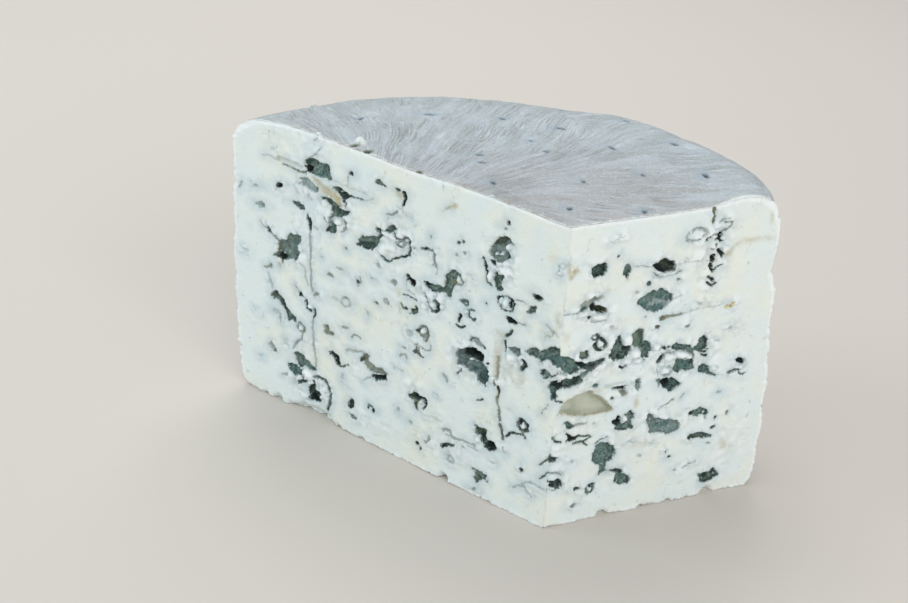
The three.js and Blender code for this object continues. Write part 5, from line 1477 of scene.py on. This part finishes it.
def noise(tree, vector, size, detail):
    made = addNode(tree, "ShaderNodeTexNoise", {
        "Vector": vector, "Scale": 1 / (size * metre), "Detail": detail, "Roughness": 0.55,
    })
    return made.outputs["Fac"]


def attributeValue(tree, name):
    return addNode(tree, "ShaderNodeAttribute", attribute_name=name).outputs["Fac"]


def colour(*parts):
    shares = [part / 255 for part in parts]
    return (*(c / 12.92 if c <= 0.04045 else ((c + 0.055) / 1.055) ** 2.4 for c in shares), 1.0)


def newMaterial(name, inputs):
    material = bpy.data.materials.new(name)
    material.use_nodes = True
    tree = material.node_tree
    tree.nodes.clear()
    shader = addNode(tree, "ShaderNodeBsdfPrincipled", inputs)
    addNode(tree, "ShaderNodeOutputMaterial", {"Surface": shader.outputs[0]})
    return material, tree, shader, addNode(tree, "ShaderNodeTexCoord").outputs["Object"]


def newGroup(name, inputs, output):
    group = bpy.data.node_groups.new(name, "ShaderNodeTree")
    for label, value in inputs.items():
        kind = "NodeSocketVector" if value is None else "NodeSocketFloat"
        socket = group.interface.new_socket(label, in_out="INPUT", socket_type=kind)
        if value is not None:
            socket.default_value = value
    group.interface.new_socket(output, in_out="OUTPUT", socket_type="NodeSocketFloat")
    return group, group.nodes.new("NodeGroupInput").outputs, group.nodes.new("NodeGroupOutput").inputs


# A noise value of a size given in millimetres, inside a group
def groupNoise(group, vector, size, detail, rough):
    scale = calculate(group, "DIVIDE", 1 / metre, size)
    inputs = {"Vector": vector, "Scale": scale, "Detail": detail, "Roughness": rough}
    return addNode(group, "ShaderNodeTexNoise", inputs).outputs["Fac"]


# Groups that both materials place, each with its own values
def makeFray():
    group, given, result = newGroup("fray", {"Vector": None, "Distance": 0.0, "Size": 1.0, "Amount": 1.0}, "Distance")
    value = groupNoise(group, given["Vector"], given["Size"], 4, 0.62)
    ragged = calculate(group, "MULTIPLY", calculate(group, "SUBTRACT", value, 0.5), given["Amount"])
    group.links.new(calculate(group, "ADD", given["Distance"], ragged), result["Distance"])
    return group


def makeSpeckle():
    group, given, result = newGroup("speckle", {"Vector": None, "Size": 1.0, "Low": 0.5, "High": 0.7}, "Mask")
    value = groupNoise(group, given["Vector"], given["Size"], 3, 0.55)
    group.links.new(softStep(group, value, given["Low"], given["High"]), result["Mask"])
    return group


def makeGrain():
    group, given, result = newGroup("grain", {"Vector": None, "Fine": 0.6, "Coarse": 2.5, "Share": 0.5}, "Height")
    fine = groupNoise(group, given["Vector"], given["Fine"], 4, 0.6)
    coarse = groupNoise(group, given["Vector"], given["Coarse"], 3, 0.5)
    mixed = addNode(group, "ShaderNodeMix", {"Factor": given["Share"], 2: fine, 3: coarse})
    group.links.new(mixed.outputs[0], result["Height"])
    return group


effects = {"fray": makeFray(), "speckle": makeSpeckle(), "grain": makeGrain()}


def place(tree, effect, **values):
    return addNode(tree, "ShaderNodeGroup", values, node_tree=effects[effect]).outputs[0]


def addBump(tree, shader, height, strength, distance):
    bump = addNode(tree, "ShaderNodeBump", {"Strength": strength, "Distance": distance, "Height": height})
    tree.links.new(bump.outputs[0], shader.inputs["Normal"])


# What a material is mixed with: its spots, its colours laid on one another, and what its surface says
def brushes(tree, vector, look):
    def spots(name):
        size, low, high = look["spots"][name]
        return place(tree, "speckle", Vector=vector, Size=size, Low=low, High=high)

    def coat(base, *layers):
        base = colour(*look[base]) if isinstance(base, str) else base
        for mask, name in layers:
            base = blendColour(tree, mask, base, colour(*look[name]))
        return base

    ramp, times = partial(softStep, tree), partial(calculate, tree, "MULTIPLY")
    return spots, coat, ramp, times, partial(attributeValue, tree)


pasteLook = {  # colours from 0 to 255
    "cream": (230, 240, 239),
    "warm": (235, 240, 231),
    "cool": (224, 237, 241),
    "bluish": (194, 214, 226),
    "crumb": (246, 252, 255),
    # painted shade for the creases between crumbs and the gaps round standing paste; also the tint of grey dots and of
    # the haze round the mould
    "crease": (164, 183, 186),
    "stain": (188, 180, 146),
    "hollow": (196, 199, 184),
    "hollowDark": (172, 178, 160),
    "mouldMid": (82, 107, 98),
    "mouldLight": (114, 137, 127),
    "mouldDark": (46, 64, 60),
    "teal": (80, 116, 116),
    "olive": (122, 122, 92),
    "brown": (106, 102, 0),
    "brownDark": (54, 47, 6),
    "amber": (232, 208, 120),
    # near-black painted shade in the holes, over their dark mould
    "pit": (20, 27, 25),
    "fuzz": (180, 194, 192),
    "spots": {  # size in millimetres, and the noise at which each kind begins and is full
        "warmClouds": (15, 0.4, 0.66),
        "coolClouds": (7, 0.46, 0.7),
        "bluishClouds": (6, 0.38, 0.6),
        "dots": (2.4, 0.66, 0.76),
        "stains": (2.8, 0.25, 0.55),
        "hollowClouds": (9, 0.4, 0.62),
        "cracks": (8, 0.52, 0.66),
        "mouldClouds": (2.1, 0.36, 0.62),
        "fuzz": (0.7, 0.5, 0.64),
        "fuzzPlaces": (3, 0.4, 0.56),
        "strands": (1.1, 0.5, 0.62),
        "outlines": (3.2, 0.4, 0.56),
    },
    "crackScale": 95.0,
    "crackBend": (0.008, 260.0),  # how far cracks wander, and the scale of it
    "fringe": {"Size": 0.65, "Amount": 1.1},  # of the mould's outline
    "mottle": {"Size": 0.7, "Amount": 0.75},
    "shader": {"Subsurface Weight": 0.18, "Subsurface Radius": (1.0, 0.9, 0.75), "Subsurface Scale": 0.0014},
    "roughness": (0.5, 0.75),  # of paste and of mould
    "bump": (0.45, 0.0009),
}


def makePaste():
    look = pasteLook
    material, tree, shader, vector = newMaterial("pasteCut", look["shader"])
    spots, coat, ramp, times, value = brushes(tree, vector, look)
    mould, tone, stain, show = value("mould"), value("tone"), value("stain"), value("show")

    # Clean paste: cream with cooler and warmer clouds, white crumbs, painted shade in grey between them, thin cracks
    near = times(ramp(mould, -3.6, -0.4), spots("bluishClouds"))
    base = coat(
        "cream",
        (spots("warmClouds"), "warm"),
        (times(spots("coolClouds"), 0.4), "cool"),
        (times(near, 0.42), "bluish"),
        (times(value("lump"), 0.9), "crumb"),
        (times(value("crease"), 0.6), "crease"),
        (times(spots("dots"), 0.5), "crease"),
        (times(stain, spots("stains")), "stain"),
    )
    hollow = coat("hollow", (spots("hollowClouds"), "hollowDark"))
    base = blendColour(tree, ramp(stain, 0.8, 1.7), base, hollow)
    bend, bendScale = look["crackBend"]
    inputs = {"Vector": vector, "Scale": bendScale, "Detail": 3.0}
    wander = addNode(tree, "ShaderNodeTexNoise", inputs).outputs["Color"]
    inputs = {"Vector": blendColour(tree, bend, vector, wander, "ADD"), "Scale": look["crackScale"]}
    cells = addNode(tree, "ShaderNodeTexVoronoi", inputs, feature="DISTANCE_TO_EDGE").outputs["Distance"]
    crack = times(ramp(cells, 0.03, 0.0), spots("cracks"))
    base = coat(base, (ramp(value("rim"), 1.5, 0.2, 0, 0.7), "crumb"), (times(crack, 0.3), "stain"))

    # Mould: smooth grey-green clouds, pale fuzz, darker towards parts of the outline, near-black painted shade where
    # it is a hole
    tint = coat(
        "mouldMid",
        (spots("mouldClouds"), "mouldLight"),
        (ramp(tone, 0.1, 1.0, 0, 0.85), "teal"),
        (times(times(spots("fuzz"), 0.45), spots("fuzzPlaces")), "fuzz"),
        (times(spots("strands"), 0.7), "mouldDark"),
        (ramp(tone, -0.1, -1.0, 0, 0.8), "olive"),
        (ramp(tone, -1.0, -1.7), "brown"),
        (ramp(tone, -1.9, -2.4), "amber"),
    )
    frayed = place(tree, "fray", Vector=vector, Distance=mould, **look["fringe"])
    base = coat(base, (times(ramp(frayed, -1.1, 0.1, 0, 0.25), show), "crease"))
    border = ramp(calculate(tree, "ABSOLUTE", calculate(tree, "SUBTRACT", frayed, 0.22)), 0.42, 0.05)
    border = times(border, spots("outlines"))
    mottle = place(tree, "fray", Vector=vector, Distance=value("dark"), **look["mottle"])
    mottle = calculate(tree, "ADD", mottle, times(border, 0.45))
    shadow = coat("mouldDark", (ramp(tone, -0.6, -1.4), "brownDark"))
    tint = blendColour(tree, ramp(mottle, 0.12, 0.62), tint, shadow)
    # painted shade: near-black in the holes
    tint = coat(tint, (ramp(mottle, 0.6, 0.86), "pit"))
    mask = times(ramp(frayed, -0.2, 0.22), show)
    tree.links.new(blendColour(tree, mask, base, tint), shader.inputs["Base Color"])
    tree.links.new(ramp(mask, 0, 1, *look["roughness"]), shader.inputs["Roughness"])
    height = place(tree, "grain", Vector=vector, Fine=0.7, Coarse=2.4, Share=0.45)
    addBump(tree, shader, addTimes(tree, crack, -0.2, height), *look["bump"])
    return material


rindLook = {
    "grey": (166, 176, 179),
    "pale": (186, 196, 203),
    "fleck": (214, 223, 231),
    "warm": (174, 174, 175),
    "dim": (150, 156, 160),
    "far": (158, 166, 162),
    # darker brown along the folds: painted shade in them together with their own tint
    "crease": (142, 124, 104),
    "bluish": (160, 176, 188),
    "olive": (126, 130, 106),
    "rim": (230, 237, 236),
    "beige": (202, 191, 178),
    # painted shade in the needle holes
    "deep": (70, 82, 90),
    "warmPlace": (0.0531, -0.0518, 0.103),  # the corner round which the top is warmest
    "spots": {
        "folds": (9, 0.45, 0.56),
        "dust": (0.7, 0.56, 0.66),
        "pores": (1.3, 0.44, 0.34),
    },
    "streaks": {  # width as an angle, length in millimetres, detail, shift and roughness
        "broad": (0.07, 30, 3, 0, 0.6),
        "fine": (0.016, 12, 2, 31, 0.62),
        "flecks": (0.05, 14, 3, 53, 0.62),
        "folds": (0.03, 40, 1, 77, 0.62),
    },
    "fringe": {"Size": 1.6, "Amount": 3.0},  # of the pale border along the cuts
    "shader": {"Roughness": 0.66, "Subsurface Weight": 0.08, "Subsurface Scale": 0.0012},
    "bump": (0.8, 0.0007),
}


def makeRind():
    look = rindLook
    material, tree, shader, vector = newMaterial("rindSkin", look["shader"])
    spots, coat, ramp, times, value = brushes(tree, vector, look)
    sway = noise(tree, vector, 18, 2)
    turn = calculate(tree, "ADD", value("turn"), addTimes(tree, sway, 0.05, -0.025))
    turn = calculate(tree, "ADD", turn, addTimes(tree, noise(tree, vector, 60, 0), 0.4, -0.2))
    flow = value("flow")

    # Streaks fan out over the top and run down the round side
    def streak(name):
        width, length, detail, shift, rough = look["streaks"][name]
        across, along = addTimes(tree, turn, 1 / width, shift), times(flow, 1 / length)
        where = addNode(tree, "ShaderNodeCombineXYZ", {0: across, 1: along, 2: 0.0}).outputs[0]
        inputs = {"Vector": where, "Scale": 1.0, "Detail": detail, "Roughness": rough}
        return addNode(tree, "ShaderNodeTexNoise", inputs).outputs["Fac"]

    broad, fine = streak("broad"), streak("fine")
    inputs = {0: vector, 1: look["warmPlace"]}
    away = addNode(tree, "ShaderNodeVectorMath", inputs, operation="DISTANCE").outputs["Value"]
    near = ramp(addTimes(tree, sway, 0.05, away), 0.11, 0.04)
    far = ramp(away, 0.09, 0.17, 0, 0.8)
    fold = calculate(tree, "ABSOLUTE", calculate(tree, "SUBTRACT", streak("folds"), 0.5))
    fold = times(ramp(fold, 0.03, 0.0), spots("folds"))
    base = coat(
        "grey",
        (ramp(broad, 0.36, 0.66), "pale"),
        (times(near, ramp(broad, 0.66, 0.36, 0.35, 0.95)), "warm"),
        (far, "far"),
        (ramp(fine, 0.54, 0.74, 0, 0.4), "fleck"),
        (ramp(streak("flecks"), 0.54, 0.74, 0, 0.55), "fleck"),
        (ramp(fine, 0.42, 0.3, 0, 0.3), "dim"),
        # the folds, darkened with painted shade and tint
        (times(fold, 0.4), "crease"),
    )

    # Without streaks along the line where the top's meet the side's
    plain = calculate(tree, "SUBTRACT", 1.0, value("seam"))
    calm = coat("grey", (ramp(sway, 0.35, 0.65), "pale"), (far, "far"))
    border = place(tree, "fray", Vector=vector, Distance=value("rim"), **look["fringe"])
    base = coat(
        blendColour(tree, plain, calm, base),
        (times(spots("dust"), 0.55), "fleck"),
        (times(spots("pores"), 0.4), "dim"),
        (times(value("lump"), 0.6), "bluish"),
        (ramp(border, -3.6, -0.9, 0, 0.3), "beige"),
        (ramp(border, -1.6, -0.6, 0, 0.9), "rim"),
        (value("show"), "rim"),
        (times(value("stain"), 0.85), "olive"),
        # painted shade darkening the needle holes
        (times(value("dark"), 0.85), "deep"),
    )
    tree.links.new(base, shader.inputs["Base Color"])
    height = addTimes(tree, fine, 0.6, times(broad, 1.4))
    height = times(addTimes(tree, fold, -0.35, height), plain)
    grain = place(tree, "grain", Vector=vector, Fine=0.6, Coarse=1.8, Share=0.4)
    addBump(tree, shader, addTimes(tree, grain, 0.6, height), *look["bump"])
    return material


print("mixing the materials")
cheeseBody.data.materials.append(makePaste())
cheeseBody.data.materials.append(makeRind())
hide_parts("roquefort_piece")
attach(cheeseBody, "root")


# Floor, light and camera
def makeStage():
    mesh = bpy.data.meshes.new("floor")
    half = 3.0
    mesh.from_pydata([(-half, -half, 0), (half, -half, 0), (half, half, 0), (-half, half, 0)], [], [(0, 1, 2, 3)])
    mesh.materials.append(newMaterial("floorPale", {"Base Color": colour(214, 208, 200), "Roughness": 0.85})[0])
    addObject("floor", mesh)


lights = {
    "world": (0.97, 0.99, 1.0, 0.5),
    "panels": (  # name, place, size, power, colour
        ("overheadPanel", (-0.5, 0.5, 1.0), 0.9, 6.0, (1, 1, 1)),
        ("windowPanel", (0.9, -0.5, 0.5), 0.8, 5.3, (1, 0.995, 0.98)),
        ("fillPanel", (-0.9, -0.7, 0.45), 0.7, 4.8, (0.8, 0.94, 1)),
    ),
}


def makeLights():
    world = bpy.data.worlds.new("studio")
    bpy.context.scene.world = world
    world.use_nodes = True
    background = world.node_tree.nodes["Background"]
    background.inputs["Color"].default_value = (*lights["world"][:3], 1)
    background.inputs["Strength"].default_value = lights["world"][3]
    target = Vector((0, 0, 0.05))
    for name, place, size, power, tint in lights["panels"]:
        data = bpy.data.lights.new(name, "AREA")
        data.shape, data.size, data.energy, data.color = "SQUARE", size, power, tint
        panel = addObject(name, data)
        panel.location = place
        panel.rotation_euler = (target - Vector(place)).to_track_quat("-Z", "Y").to_euler()


view = {
    "place": (261.75, -368.63, 251.3),
    "towards": (-0.5614, 0.7134, -0.4195),
    "roll": math.radians(3.35),
    "lens": 56.7,
}


def makeCamera():
    towards = Vector(view["towards"]).normalized()
    level = towards.cross(Vector((0, 0, 1))).normalized()
    upright = level.cross(towards)
    right = level * math.cos(view["roll"]) + upright * math.sin(view["roll"])
    up = upright * math.cos(view["roll"]) - level * math.sin(view["roll"])
    data = bpy.data.cameras.new("photoView")
    data.lens, data.sensor_width = view["lens"], 36
    data.clip_start, data.clip_end = 0.01, 20
    camera = addObject("photoView", data)
    turn = Matrix((right, up, -towards)).transposed()
    camera.matrix_world = Matrix.Translation(Vector(view["place"]) * metre) @ turn.to_4x4()
    bpy.context.scene.camera = camera


print("setting the stage")
makeStage()
makeLights()
makeCamera()
bpy.context.scene.view_settings.view_transform = "Standard"
